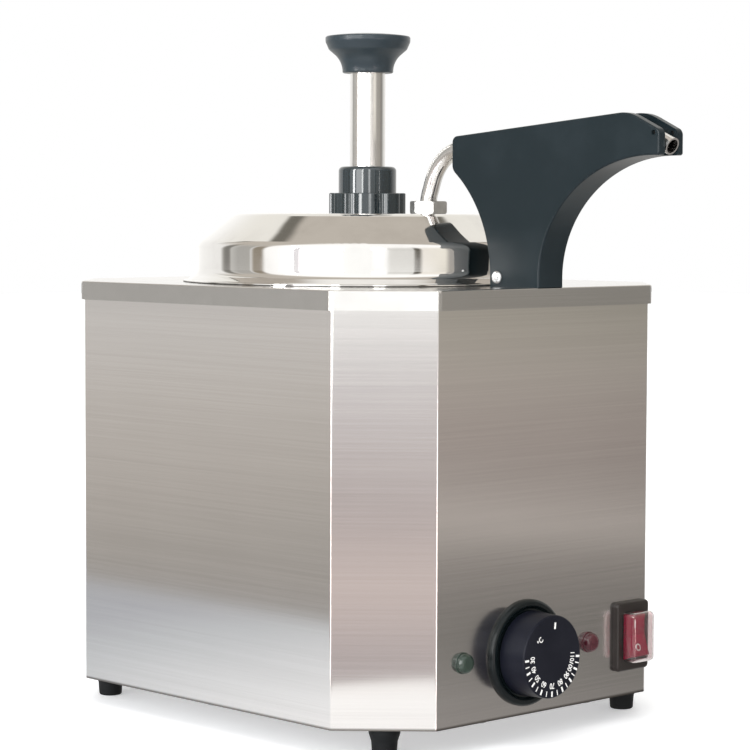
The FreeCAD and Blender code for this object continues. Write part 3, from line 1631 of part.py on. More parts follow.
def make_pump_knob():
    """The mushroom knob: waisted neck, flared underside, rounded rim and domed top."""
    rim = pump_knob_radius
    neck = knob_bottom + pump_knob_height * pump_knob_neck_share
    under = knob_bottom + pump_knob_height * pump_knob_rim_share
    crown = knob_bottom + pump_knob_height * pump_knob_crown_share
    start = Vector(0, 0, knob_bottom)
    edges = rounded_edges(
        [
            start,
            Vector(pump_knob_neck_radius, 0, knob_bottom),
            Vector(pump_knob_neck_radius, 0, neck),
            Vector(rim * pump_knob_rim_radius_share, 0, under),
            Vector(rim, 0, under + pump_knob_rim_round * pump_knob_rim_lift_share),
            Vector(rim, 0, crown),
        ],
        [knob_round, pump_knob_flare, pump_knob_rim_round, pump_knob_rim_round],
    )
    side = Vector(rim, 0, crown)
    top = Vector(0, 0, knob_top)
    shoulder = Vector(rim * pump_knob_dome_share, 0, crown + (knob_top - crown) * pump_knob_dome_lift_share)
    edges.append(Part.Arc(side, shoulder, top).toShape())
    edges.append(Part.LineSegment(top, start).toShape())
    knob = Part.Face(Part.Wire(edges)).revolve(Vector(0, 0, 0), Vector(0, 0, 1), 360)
    crest = [e for e in knob.Edges if len(e.Vertexes) == 1 and abs(e.Vertexes[0].Z - crown) < seat_gap]
    knob = knob.makeFillet(pump_knob_crest_round, crest)
    return knob.cut(disc(plunger_radius + thread_fit, knob_bottom - overrun, pump_knob_socket + overrun))


def make_piston():
    """The piston on the plunger's end, with two seal grooves."""
    radius = cylinder_bore - piston_fit
    piston = disc(radius, piston_bottom, piston_height)
    grooves = [
        ring(radius + overrun, seal_floor(), z - seal_wire, 2 * seal_wire)
        for z in seal_levels()
    ]
    return piston.cut(grooves)


def seal_levels():
    """Heights of the two seals."""
    return piston_bottom + seal_inset, piston_top - seal_inset


def seal_floor():
    """Radius of the seal grooves' floor."""
    return cylinder_bore - seal_fit - 2 * seal_wire


def make_seals():
    """Two rubber rings in the piston's grooves."""
    centre = cylinder_bore - seal_fit - seal_wire
    seal = Part.makeTorus(centre, seal_wire - screw_fit / 2)
    return placed_copies(seal, [Vector(0, 0, z) for z in seal_levels()])


def make_spring():
    """The return spring between the foot valve and the piston, one wire wound as a helix."""
    radius = cylinder_bore - spring_side_gap - spring_wire_radius
    bottom = spring_bottom + spring_wire_radius
    height = piston_bottom - spring_end_gap - spring_wire_radius - bottom
    helix = Part.makeHelix(height / spring_turns, height, radius)
    pitch = height / spring_turns
    way = Vector(0, 2 * math.pi * radius, pitch)
    circle = Part.Wire(Part.Circle(Vector(radius, 0, 0), way, spring_wire_radius).toShape())
    wire = Part.Wire(helix.Edges)
    spring = wire.makePipeShell([circle], True, True)
    spring.translate(Vector(0, 0, bottom))
    return spring


def make_pieces():
    """Every node with its shape."""
    pieces = {
        "casing_wrap": make_casing(),
        "top_plate": make_top_plate(),
        "base_plate": make_base_plate(),
        "base_screws": make_base_screws(),
        "foot_screws": make_foot_screws(),
        "water_well": make_well(),
        "food_jar": make_jar(),
        "heater_ring": make_heater_ring(),
        "heater_strap": make_heater_strap(),
        "heater_stud": make_heater_stud(),
        "safety_cutout": make_cutout(),
        "thermostat_body": make_thermostat(),
        "thermostat_screws": make_thermostat_screws(),
        "thermostat_bezel": make_bezel(),
        "thermostat_knob": make_knob(),
        "thermostat_shaft": make_shaft(),
        "thermostat_bulb": make_bulb(),
        "bulb_clips": make_bulb_clips(),
        "switch_body": make_switch_body(),
        "switch_rocker": make_rocker(),
        "switch_cover": make_switch_cover(),
        "terminal_block": make_terminal_block(),
        "earth_stud": make_earth_stud(),
        "cable_gland": make_gland(),
        "gland_nut": make_gland_nut(),
        "gland_lock_nut": make_gland_lock_nut(),
        "spout_housing": make_housing(),
        "spout_bracket": make_bracket(),
        "bracket_screws": make_bracket_screws(),
        "housing_screws": make_housing_screws(),
        "lead_grommet": make_grommet(),
        "spout_heat_bar": make_heat_bar(),
        "spout_heater": make_cartridge(),
        "lid": make_lid(),
        "lock_nut": make_lock_nut(),
        "pump_cap": make_cap(),
        "pump_cylinder": make_cylinder(),
        "foot_valve": make_valve(),
        "cage_pin": make_cage_pin(),
        "inlet_ball": make_inlet_ball(),
        "outlet_ball": make_outlet_ball(),
        "discharge_tube": make_discharge_tube(),
        "tube_sleeve": make_sleeve(),
        "tube_nut": make_tube_nut(),
        "pump_spring": make_spring(),
        "plunger_tube": make_plunger_tube(),
        "pump_knob": make_pump_knob(),
        "piston": make_piston(),
        "piston_seals": make_seals(),
    }
    for name, x in (("green", green_lamp_x), ("red", red_lamp_x)):
        pieces[name + "_lamp_lens"] = facing_front(make_lens(), x)
        pieces[name + "_lamp_body"] = facing_front(make_lamp_body(), x)
    for name, (x, y) in foot_places().items():
        pieces[name] = make_foot(x, y)
    return pieces


def main():
    """Build every piece, move it to the part's frame and write it."""
    os.makedirs("parts", exist_ok=True)
    for name, shape in make_pieces().items():
        shape.translate(Vector(0, frame_shift, 0))
        shape.exportStep(os.path.join("parts", name + ".step"))
        solids = len(shape.Solids)
        print(f"{name}: {solids} solid(s), {shape.Volume:.1f} mm3, valid {shape.isValid()}")
    print(f"frame shift {frame_shift:.4f}")


main()
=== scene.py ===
"""Looks of a countertop warmer for hot toppings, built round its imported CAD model.

The warmer is a steel casing with cut corners, a polished lid, a hand pump and a heated spout.
Every length is in metres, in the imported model's frame: X to the right, Y to the back, Z up.
"""

import logging
import math
from dataclasses import dataclass, field
from enum import Enum
from typing import Mapping, Sequence

import bmesh
import bpy
import numpy as np
from mathutils import Matrix, Vector


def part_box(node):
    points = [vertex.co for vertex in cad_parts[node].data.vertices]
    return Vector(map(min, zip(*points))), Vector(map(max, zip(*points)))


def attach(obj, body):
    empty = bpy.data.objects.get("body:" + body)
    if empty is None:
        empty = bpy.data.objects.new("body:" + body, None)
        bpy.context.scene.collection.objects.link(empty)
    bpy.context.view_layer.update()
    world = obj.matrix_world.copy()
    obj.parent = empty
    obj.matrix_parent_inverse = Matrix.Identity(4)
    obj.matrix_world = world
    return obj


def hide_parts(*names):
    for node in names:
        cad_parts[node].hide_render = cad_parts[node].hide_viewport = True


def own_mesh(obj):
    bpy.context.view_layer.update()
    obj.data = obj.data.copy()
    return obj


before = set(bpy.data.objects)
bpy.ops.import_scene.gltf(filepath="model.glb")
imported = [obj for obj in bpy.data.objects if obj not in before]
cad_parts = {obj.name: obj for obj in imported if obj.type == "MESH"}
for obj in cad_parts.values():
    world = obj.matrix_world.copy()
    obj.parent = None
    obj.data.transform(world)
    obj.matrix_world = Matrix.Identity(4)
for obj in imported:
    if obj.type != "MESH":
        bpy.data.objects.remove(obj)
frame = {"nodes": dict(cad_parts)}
LOG = logging.getLogger("warmer")

MM = 0.001
PIXELS = 750
SENSOR = 36.0
FULL_TURN = 2 * math.pi
HALF_CIRCLE = 180.0
SAME_POINT = 1e-7
SHARP_EDGE = math.radians(35.0)
NOISE_MIDDLE = 0.5

Colour = tuple[float, float, float]
Triple = tuple[float, float, float]
Pair = tuple[float, float]
Stops = Sequence[tuple[float, float, float, float]]
Shape = tuple[np.ndarray, np.ndarray]


# Shader maths

@dataclass(frozen=True)
class Signal:
    """A node's output socket, with arithmetic that adds Math nodes."""

    bench: "Bench"
    socket: bpy.types.NodeSocket

    def maths(self, operation: str, *terms: "Number") -> "Signal":
        """The result of a Math node with this operation and these inputs, in order."""
        return self.bench.add("Math", {"operation": operation}, dict(enumerate(terms)))

    def __add__(self, other: "Number") -> "Signal":
        """This signal plus another."""
        return self.maths("ADD", self, other)

    def __sub__(self, other: "Number") -> "Signal":
        """This signal minus another."""
        return self.maths("SUBTRACT", self, other)

    def __mul__(self, other: "Number") -> "Signal":
        """This signal times another."""
        return self.maths("MULTIPLY", self, other)

    def __truediv__(self, other: "Number") -> "Signal":
        """This signal divided by another."""
        return self.maths("DIVIDE", self, other)

    def __pow__(self, other: "Number") -> "Signal":
        """This signal raised to a power."""
        return self.maths("POWER", self, other)

    def __radd__(self, other: float) -> "Signal":
        """A number plus this signal."""
        return self.maths("ADD", other, self)

    def __rsub__(self, other: float) -> "Signal":
        """A number minus this signal."""
        return self.maths("SUBTRACT", other, self)

    def __rmul__(self, other: float) -> "Signal":
        """A number times this signal."""
        return self.maths("MULTIPLY", other, self)

    def step(self, low: float, high: float) -> "Signal":
        """Rises smoothly from 0 where the signal is low to 1 where it is high."""
        return self.bench.add("MapRange", {"interpolation_type": "SMOOTHSTEP"},
                              {"Value": self, "From Min": low, "From Max": high})


Number = float | Signal


class Bench:
    """Where the nodes of one material, or of the world, are made and joined."""

    def __init__(self, tree: bpy.types.NodeTree) -> None:
        """Starts with an empty node tree."""
        tree.nodes.clear()
        self.tree = tree

    def feed(self, socket: bpy.types.NodeSocket, value: object) -> None:
        """Gives an input socket its value.

        Args:
            socket: the input.
            value: a signal, which is linked to it, or a plain value.
        """
        if isinstance(value, Signal):
            self.tree.links.new(value.socket, socket)
        elif isinstance(value, tuple) and socket.type == "RGBA":
            socket.default_value = (*value, 1.0)
        else:
            socket.default_value = value

    def add(self, kind: str, settings: Mapping[str, object] | None = None,
            sockets: Mapping[object, object] | None = None, output: int | str = 0) -> Signal:
        """Adds a node.

        Args:
            kind: the node's type, without ShaderNode before it.
            settings: its own properties, set first; stops are those of a colour ramp.
            sockets: its inputs by name or number, as values or signals.
            output: the output that the signal stands for.
        Returns:
            That output, as a signal.
        """
        node = self.tree.nodes.new(f"ShaderNode{kind}")
        for name, value in (settings or {}).items():
            if name == "stops":
                self._set_stops(node.color_ramp, value)
            else:
                setattr(node, name, value)
        for name, value in (sockets or {}).items():
            self.feed(node.inputs[name], value)
        return Signal(self, node.outputs[output] if node.outputs else None)

    @staticmethod
    def _set_stops(ramp: bpy.types.ColorRamp, stops: Stops) -> None:
        """Gives a colour ramp its stops.

        Args:
            ramp: the ramp, as Blender makes it.
            stops: each stop's place from 0 to 1, and its colour.
        """
        ramp.elements.remove(ramp.elements[-1])
        for index, (place, *colour) in enumerate(stops):
            stop = ramp.elements.new(place) if index else ramp.elements[0]
            stop.position = place
            stop.color = (*colour, 1.0)

    def place(self) -> Signal:
        """Where the surface is, in the object's own coordinates."""
        return self.add("TexCoord", output="Object")

    def noise(self, place: Signal, scale: Triple, detail: float = 2.0, roughness: float = 0.5) -> Signal:
        """Noise from 0 to 1, by its patches per metre and its finer layers' number and strength."""
        scaled = self.add("Mapping", {}, {"Vector": place, "Scale": scale})
        return self.add("TexNoise", {}, {"Vector": scaled, "Scale": 1.0, "Detail": detail,
                                         "Roughness": roughness})

    def parts(self, place: Signal) -> list[Signal]:
        """The X, Y and Z of a place."""
        split = self.add("SeparateXYZ", {}, {0: place}).socket.node
        return [Signal(self, socket) for socket in split.outputs]

    def blend(self, share: Number, first: object, second: object) -> Signal:
        """A colour between two, by a share from 0 to 1."""
        return self.add("Mix", {"data_type": "RGBA"}, {"Factor": share, 6: first, 7: second}, 2)

    def bump(self, height: Signal, depth: float, strength: float = 1.0,
             normal: Signal | None = None) -> Signal:
        """A normal tilted by a height.

        Args:
            height: the height, from 0 to 1.
            depth: what a height of 1 stands for, in metres.
            strength: the share of the tilt that is used.
            normal: the normal that is tilted, where it isn't the surface's own.
        Returns:
            The tilted normal.
        """
        sockets = {"Strength": strength, "Distance": depth, "Height": height}
        if normal is not None:
            sockets["Normal"] = normal
        return self.add("Bump", {}, sockets)


# Finishes

@dataclass(frozen=True)
class Finish:
    """A finish that makes its own material; each kind says what its surface does."""

    name: str

    def paint(self, bench: Bench) -> dict[str, object]:
        """The shader's inputs by name, as values or signals."""
        raise NotImplementedError

    def material(self) -> bpy.types.Material:
        """The finish's material, made once.

        Returns:
            The material that has the finish's name.
        """
        made = bpy.data.materials.get(self.name)
        if made is None:
            made = bpy.data.materials.new(self.name)
            made.use_nodes = True
            bench = Bench(made.node_tree)
            shader = bench.add("BsdfPrincipled", {}, self.paint(bench))
            bench.add("OutputMaterial", {}, {"Surface": shader})
        return made


class Grain(Enum):
    """Which way a brushed sheet's grain runs, as patches per metre along X, Y and Z."""

    ROUND_THE_WALLS = (5.0, 5.0, 1400.0)
    LEFT_TO_RIGHT = (5.0, 1400.0, 1400.0)


@dataclass(frozen=True)
class BrushedSteel(Finish):
    """Sheet steel brushed one way: fine long scratches, faint bands, a few wiped smears and a dark line of
    painted shade along its foot.
    """

    grain: Grain = Grain.ROUND_THE_WALLS
    dark: Colour = (0.625, 0.615, 0.605)
    light: Colour = (0.685, 0.675, 0.665)
    # Colour of the painted shade along the foot: it stands in for the shadow and the dark reflection at the
    # bottom edge.
    painted_foot_shade: Colour = (0.16, 0.15, 0.14)
    gloss: float = 0.135
    scratch_depth: float = 0.000002
    lean: float = 0.0
    foot: float = -1.0
    painted_shade_height: Pair = (0.3 * MM, 2.0 * MM)
    band_length: float = 3.0
    band_width: float = 12.0
    smears: Triple = (14.0, 14.0, 9.0)
    tone_shares: Triple = (0.55, 0.3, 0.15)
    bump_shares: Pair = (0.7, 0.3)
    gloss_shares: Pair = (0.06, 0.03)

    def paint(self, bench: Bench) -> dict[str, object]:
        """Scratches tilt the normal, bands and smears change the tone and the gloss, and painted shade
        darkens the foot.

        Args:
            bench: where the nodes go.
        Returns:
            The shader's inputs by name.
        """
        place = bench.place()
        _, _, height = bench.parts(place)
        long_x, long_y, long_z = self.grain.value
        wide = (long_x / self.band_length, long_y / self.band_width, long_z / self.band_width)
        fine = bench.noise(place, self.grain.value, detail=3.0, roughness=0.7)
        band = bench.noise(place, wide, detail=2.0)
        smear = bench.noise(place, self.smears, detail=3.0, roughness=0.6)
        of_fine, of_band, of_smear = self.tone_shares
        share = fine * of_fine + band * of_band + smear * of_smear
        clean = bench.blend(share.step(low=0.3, high=0.7), self.dark, self.light)
        # Painted shade: the tone turns dark within the last two millimetres above the foot.
        shade_darkest, shade_ends = self.painted_shade_height
        tone = bench.blend(height.step(self.foot + shade_darkest, self.foot + shade_ends), self.painted_foot_shade, clean)
        from_fine, from_smear = self.gloss_shares
        rough = self.gloss + (fine - NOISE_MIDDLE) * from_fine + (smear - NOISE_MIDDLE) * from_smear
        flat = bench.add("NewGeometry", output="Normal")
        raised = bench.add("VectorMath", {"operation": "ADD"}, {0: flat, 1: (0.0, 0.0, self.lean)})
        normal = bench.add("VectorMath", {"operation": "NORMALIZE"}, {0: raised})
        bumps = fine * self.bump_shares[0] + band * self.bump_shares[1]
        return {
            "Base Color": tone, "Metallic": 1.0, "Roughness": rough, "Anisotropic": 0.8,
            "Normal": bench.bump(bumps, self.scratch_depth, normal=normal),
        }


@dataclass(frozen=True)
class MirrorSteel(Finish):
    """Polished pressed steel, with rings left by the polishing wheel round an upright axis."""

    axis_y: float = 0.0
    tone: Colour = (0.8, 0.79, 0.775)
    dull: Colour = (0.72, 0.705, 0.69)
    gloss: float = 0.035
    rings_per_metre: float = 1500.0
    breath_marks: Triple = (26.0, 26.0, 26.0)
    waves: Triple = (11.0, 11.0, 7.0)
    breath_gloss: float = 0.07
    ring_gloss: float = 0.02
    ring_share: float = 0.002
    wave_depth: float = 0.7 * MM

    def paint(self, bench: Bench) -> dict[str, object]:
        """Rings by the distance from the axis, and breath marks by slow noise.

        Args:
            bench: where the nodes go.
        Returns:
            The shader's inputs by name.
        """
        place = bench.add("Mapping", {}, {"Vector": bench.place(), "Location": (0.0, -self.axis_y, 0.0)})
        x, y, z = bench.parts(place)
        away = (x * x + y * y) ** 0.5
        rings = bench.add("TexNoise", {"noise_dimensions": "1D"},
                          {"W": (away + z) * self.rings_per_metre, "Scale": 1.0, "Detail": 2.0})
        breath = bench.noise(place, self.breath_marks, detail=4.0, roughness=0.6)
        wave = bench.noise(place, self.waves, detail=1.0)
        misted = breath.step(low=0.5, high=0.85) * self.breath_gloss
        return {
            "Base Color": bench.blend(breath.step(low=0.45, high=0.8), self.tone, self.dull),
            "Metallic": 1.0,
            "Roughness": self.gloss + misted + rings * self.ring_gloss,
            "Normal": bench.bump(rings * self.ring_share + wave, self.wave_depth, strength=0.5),
        }


@dataclass(frozen=True)
class PlainMetal(Finish):
    """Plain metal as the mill or the plater leaves it: cloudy patches and fine pits."""

    dark: Colour = (0.5, 0.5, 0.49)
    light: Colour = (0.64, 0.63, 0.61)
    gloss: float = 0.3
    patch: float = 60.0
    patch_gloss: float = 0.16
    pits: Triple = (1900.0, 1900.0, 1900.0)
    pit_depth: float = 0.00001

    def paint(self, bench: Bench) -> dict[str, object]:
        """Clouds change tone and gloss together, pits tilt the normal.

        Args:
            bench: where the nodes go.
        Returns:
            The shader's inputs by name.
        """
        place = bench.place()
        cloud = bench.noise(place, (self.patch,) * 3, detail=4.0, roughness=0.6)
        pits = bench.noise(place, self.pits, detail=2.0)
        return {
            "Base Color": bench.blend(cloud.step(low=0.3, high=0.7), self.dark, self.light),
            "Metallic": 1.0,
            "Roughness": self.gloss + (cloud - NOISE_MIDDLE) * self.patch_gloss,
            "Normal": bench.bump(pits, self.pit_depth),
        }


@dataclass(frozen=True)
class Moulding(Finish):
    """Moulded plastic or rubber: an even colour, a fine mould grain and a trace of handling."""

    tone: Colour = (0.03, 0.035, 0.041)
    worn: Colour = (0.042, 0.048, 0.054)
    gloss: float = 0.4
    shine: float = 0.5
    hand_marks: Triple = (34.0, 34.0, 34.0)
    hand_gloss: float = 0.12
    grain: float = 1500.0
    grain_gloss: float = 0.05
    grain_depth: float = 0.000012

    def paint(self, bench: Bench) -> dict[str, object]:
        """Slow noise for handling, fast noise for the mould's grain.

        Args:
            bench: where the nodes go.
        Returns:
            The shader's inputs by name.
        """
        place = bench.place()
        hands = bench.noise(place, self.hand_marks, detail=4.0, roughness=0.6)
        grain = bench.noise(place, (self.grain,) * 3, detail=2.0)
        from_hands = (hands - NOISE_MIDDLE) * self.hand_gloss
        return {
            "Base Color": bench.blend(hands.step(low=0.4, high=0.8), self.tone, self.worn),
            "Roughness": self.gloss + from_hands + (grain - NOISE_MIDDLE) * self.grain_gloss,
            "Specular IOR Level": self.shine,
            "Normal": bench.bump(grain, self.grain_depth),
        }


@dataclass(frozen=True)
class ClearPlastic(Finish):
    """Clear or tinted plastic that lets light through, faintly hazed and scuffed."""

    tone: Colour = (0.96, 0.88, 0.89)
    haze: Colour = (0.9, 0.82, 0.83)
    passes: float = 0.99
    gloss: float = 0.06
    bends: float = 1.49
    clouds: Triple = (120.0, 120.0, 120.0)
    cloud_gloss: float = 0.08
    scuffs: Triple = (900.0, 900.0, 300.0)
    scuff_gloss: float = 0.04
    scuff_depth: float = 0.00001

    def paint(self, bench: Bench) -> dict[str, object]:
        """Slow noise for haze, finer noise for scuffs.

        Args:
            bench: where the nodes go.
        Returns:
            The shader's inputs by name.
        """
        place = bench.place()
        haze = bench.noise(place, self.clouds, detail=3.0)
        scuff = bench.noise(place, self.scuffs, detail=2.0)
        hazed = haze.step(low=0.5, high=0.8) * self.cloud_gloss
        return {
            "Base Color": bench.blend(haze.step(low=0.4, high=0.75), self.tone, self.haze),
            "Roughness": self.gloss + hazed + (scuff - NOISE_MIDDLE) * self.scuff_gloss,
            "IOR": self.bends, "Transmission Weight": self.passes,
            "Coat Weight": 0.4, "Coat Roughness": 0.03,
            "Normal": bench.bump(scuff, self.scuff_depth),
        }


# Meshes worked out on grids

@dataclass(frozen=True)
class Seat:
    """A right-handed set of directions at a point: right and up lie on a face, out leaves it."""

    origin: Triple
    right: Triple = (1.0, 0.0, 0.0)
    up: Triple = (0.0, 1.0, 0.0)
    out: Triple = (0.0, 0.0, 1.0)

    def world(self, local: np.ndarray) -> np.ndarray:
        """Local points, in rows of three, as points of the frame: origin plus each amount along its way."""
        ways = np.array([self.right, self.up, self.out])
        return np.asarray(local) @ ways + np.array(self.origin)

    def matrix(self) -> Matrix:
        """The same as a matrix for a mesh."""
        turn = Matrix((self.right, self.up, self.out)).transposed().to_4x4()
        return Matrix.Translation(Vector(self.origin)) @ turn


def ring_faces(rows: int, columns: int) -> np.ndarray:
    """The four-sided faces of a grid of points that closes on itself both ways.

    Face (i, j) joins points (i, j), (i, j + 1), (i + 1, j + 1) and (i + 1, j), counted round.

    Args:
        rows: how many rows of points.
        columns: how many points in a row.
    Returns:
        The point numbers, in rows of four.
    """
    i, j = np.meshgrid(np.arange(rows), np.arange(columns), indexing="ij")
    below, beside = (i + 1) % rows, (j + 1) % columns
    return np.stack([i * columns + j, i * columns + beside, below * columns + beside, below * columns + j],
                    axis=-1).reshape(-1, 4)


def new_piece(name: str, points: np.ndarray, faces: np.ndarray) -> bpy.types.Object:
    """A mesh object from points and faces, with its seams and poles merged.

    Args:
        name: the piece's name.
        points: its points, in rows of three, in metres.
        faces: its faces, as rows of point numbers.
    Returns:
        The object, at the origin.
    """
    mesh = bpy.data.meshes.new(name)
    mesh.from_pydata(points.reshape(-1, 3).tolist(), [], faces.tolist())
    return finished(name, mesh)


def finished(name: str, mesh: bpy.types.Mesh) -> bpy.types.Object:
    """An object of a mesh whose doubles are merged and whose faces point outwards.

    Args:
        name: the object's name.
        mesh: its mesh, which is changed.
    Returns:
        The object, at the origin.
    """
    work = bmesh.new()
    work.from_mesh(mesh)
    bmesh.ops.remove_doubles(work, verts=work.verts, dist=SAME_POINT)
    bmesh.ops.dissolve_degenerate(work, edges=work.edges, dist=SAME_POINT)
    bmesh.ops.recalc_face_normals(work, faces=work.faces)
    work.to_mesh(mesh)
    work.free()
    mesh.shade_smooth()
    mesh.set_sharp_from_angle(angle=SHARP_EDGE)
    piece = bpy.data.objects.new(name, mesh)
    bpy.context.scene.collection.objects.link(piece)
    return piece


def hide(thing: bpy.types.Object, *rays: str) -> None:
    """Hides an object from these kinds of rays."""
    for kind in rays:
        setattr(thing, f"visible_{kind}", False)


def turned(profile: Sequence[Pair], seat: Seat, segments: int) -> Shape:
    """A closed profile turned round the seat's out direction.

    The point at angle t on profile point (r, h) is r cos t to the right, r sin t up and h out.

    Args:
        profile: radius and height of each profile point, joined in a ring.
        seat: where it is turned.
        segments: points round the ring.
    Returns:
        Its points and faces.
    """
    turn = np.linspace(0, FULL_TURN, segments, endpoint=False)
    radius, height = np.array(profile).T[:, :, None]
    local = np.stack([radius * np.cos(turn), radius * np.sin(turn), height + 0 * turn], axis=-1)
    return seat.world(local).reshape(-1, 3), ring_faces(len(profile), segments)


def blocks(middles: np.ndarray, along: np.ndarray, aside: np.ndarray, out: np.ndarray) -> Shape:
    """Boxes, each given by its middle and by half its length, width and thickness as vectors.

    Corner (i, j, k) of a box is middle + i along + j aside + k out, where i, j and k are -1 or 1.

    Args:
        middles: the boxes' middles, in rows of three.
        along: half of each box's length.
        aside: half of each box's width.
        out: half of each box's thickness.
    Returns:
        Their points and faces.
    """
    signs = np.array([(i, j, k) for k in (-1, 1) for j in (-1, 1) for i in (-1, 1)], float)
    ways = np.stack(np.broadcast_arrays(along, aside, out), axis=-2)
    points = middles[:, None, :] + signs @ ways
    sides = np.array([[0, 2, 3, 1], [4, 5, 7, 6], [0, 1, 5, 4], [2, 6, 7, 3], [0, 4, 6, 2], [1, 3, 7, 5]])
    faces = sides[None] + 8 * np.arange(len(middles))[:, None, None]
    return points.reshape(-1, 3), faces.reshape(-1, 4)


def joined(*shapes: Shape) -> Shape:
    """Several shapes as one: their points in a row and their faces renumbered."""
    starts = np.cumsum([0] + [len(points) for points, _ in shapes[:-1]])
    return (np.concatenate([points for points, _ in shapes]),
            np.concatenate([faces + start for (_, faces), start in zip(shapes, starts)]))


# What the classes share

@dataclass
class Shop:
    """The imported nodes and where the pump's axis is."""

    nodes: Mapping[str, bpy.types.Object]
    axis_y: float
    ray_start: float = 10.0 * MM
    dressed: set = field(default_factory=set)

    def dress(self, finish: Finish, *names: str) -> None:
        """Gives CAD nodes a finish.

        Args:
            finish: the finish.
            names: the nodes' names.
        """
        for name in names:
            mesh = self.nodes[name].data
            for index in range(len(mesh.materials)):
                mesh.materials[index] = finish.material()
            self.dressed.add(name)

    def points(self, name: str) -> np.ndarray:
        """A CAD node's mesh points in the frame, in rows of three."""
        node = self.nodes[name]
        return np.array([node.matrix_world @ vertex.co for vertex in node.data.vertices])

    def copy_of(self, name: str, new_name: str) -> bpy.types.Object:
        """A merged copy of a CAD node's mesh, which has three-sided faces."""
        faces = np.array([tuple(face.vertices) for face in self.nodes[name].data.polygons])
        return new_piece(new_name, self.points(name), faces)

    def facing(self, name: str, x: float, z: float) -> Seat:
        """A seat on a CAD node where a ray from the front, at this x and z, meets it.

        Args:
            name: the node's name.
            x: how far to the right the ray is.
            z: how high it is.
        Returns:
            The seat, looking along the surface's normal.
        """
        node = self.nodes[name]
        back = node.matrix_world.inverted()
        low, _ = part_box(name)
        start = back @ Vector((x, low.y - self.ray_start, z))
        found, spot, normal, _ = node.ray_cast(start, back.to_3x3() @ Vector((0.0, 1.0, 0.0)))
        if not found:
            raise ValueError(f"nothing of {name} lies at x {x}, z {z}")
        right = Vector((1.0, 0.0, 0.0))
        out = (node.matrix_world.to_3x3() @ normal).normalized()
        return Seat(tuple(node.matrix_world @ spot), tuple(right), tuple(out.cross(right)), tuple(out))

    def keep(self, piece: bpy.types.Object, finish: Finish, body: str, slot: str) -> None:
        """Takes up a new piece.

        Args:
            piece: the piece.
            finish: its finish.
            body: the body that it rides on.
            slot: not used.
        """
        piece.data.materials.clear()
        piece.data.materials.append(finish.material())
        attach(piece, body)
        LOG.info("made %s on %s", piece.name, body)


BRUSHED_PLATE = BrushedSteel("brushed_plate", grain=Grain.LEFT_TO_RIGHT, gloss=0.15, lean=0.03)
# One dark finish for two things: the rim's open seams, which are real dark joints, and the ring of painted
# shade under the lid's brim.
DARK_SEAM_AND_SHADE = PlainMetal("dark_seam_and_painted_shade", (0.05, 0.047, 0.042), (0.09, 0.085, 0.078), gloss=0.55, patch=300.0)
MILL_STEEL = PlainMetal("mill_steel")
ZINC = PlainMetal("zinc_plate", (0.52, 0.54, 0.56), (0.7, 0.71, 0.72), gloss=0.24, patch=400.0)
BRASS = PlainMetal("brass_stud", (0.6, 0.42, 0.16), (0.76, 0.56, 0.24), gloss=0.26, patch=300.0)
COPPER = PlainMetal("copper_bulb", (0.58, 0.28, 0.17), (0.8, 0.44, 0.29), gloss=0.28, patch=140.0)
ALUMINIUM = PlainMetal("bar_aluminium", (0.66, 0.67, 0.68), (0.8, 0.8, 0.81), gloss=0.32, patch=220.0)
NUT_STEEL = PlainMetal("nut_steel", (0.58, 0.58, 0.57), (0.68, 0.68, 0.67), gloss=0.4, patch=200.0,
                       pit_depth=0.000003)
SPOUT_BLACK = Moulding("spout_black", (0.006, 0.013, 0.017), (0.01, 0.018, 0.023), gloss=0.33, shine=0.3)
KNOB_BLACK = Moulding("knob_black", (0.022, 0.034, 0.043), (0.031, 0.043, 0.052), gloss=0.3, shine=0.45,
                      grain_depth=0.000006)
DIAL_BLACK = Moulding("dial_black", (0.007, 0.008, 0.014), (0.012, 0.013, 0.02), gloss=0.36, shine=0.14)
SWITCH_BLACK = Moulding("switch_black", (0.018, 0.014, 0.013), (0.026, 0.022, 0.02), gloss=0.3, shine=0.4)
SATIN_BLACK = Moulding("satin_black")
GLOSS_BLACK = Moulding("gloss_black", (0.01, 0.019, 0.024), (0.017, 0.026, 0.031), gloss=0.09, shine=1.0,
                       grain=500.0, grain_depth=0.000003)
BEZEL_BLACK = Moulding("bezel_black", (0.004, 0.007, 0.008), (0.01, 0.013, 0.014), gloss=0.24, shine=0.28,
                       grain=700.0, grain_depth=0.000004)
RUBBER = Moulding("foot_rubber", (0.006, 0.007, 0.008), (0.012, 0.013, 0.014), gloss=0.62, shine=0.16,
                  grain=1200.0, grain_depth=0.00003)
IVORY = Moulding("ivory_block", (0.62, 0.58, 0.47), (0.54, 0.5, 0.4), gloss=0.42)
WHITE_PLASTIC = Moulding("piston_white", (0.78, 0.78, 0.76), (0.7, 0.7, 0.68), gloss=0.35)
PRINT_WHITE = Moulding("print_white", (0.86, 0.86, 0.85), (0.76, 0.76, 0.75), gloss=0.5)
ROCKER_RED = Moulding("rocker_red", (0.4, 0.005, 0.05), (0.33, 0.005, 0.045), gloss=0.25, shine=0.3)
CLEAR_COVER = ClearPlastic("splash_cover")
GREEN_LENS = ClearPlastic("green_lens_finish", (0.018, 0.034, 0.026), (0.024, 0.043, 0.032), passes=0.05,
                          gloss=0.12)
RED_LENS = ClearPlastic("red_lens_finish", (0.062, 0.011, 0.018), (0.08, 0.017, 0.024), passes=0.05,
                        gloss=0.12)


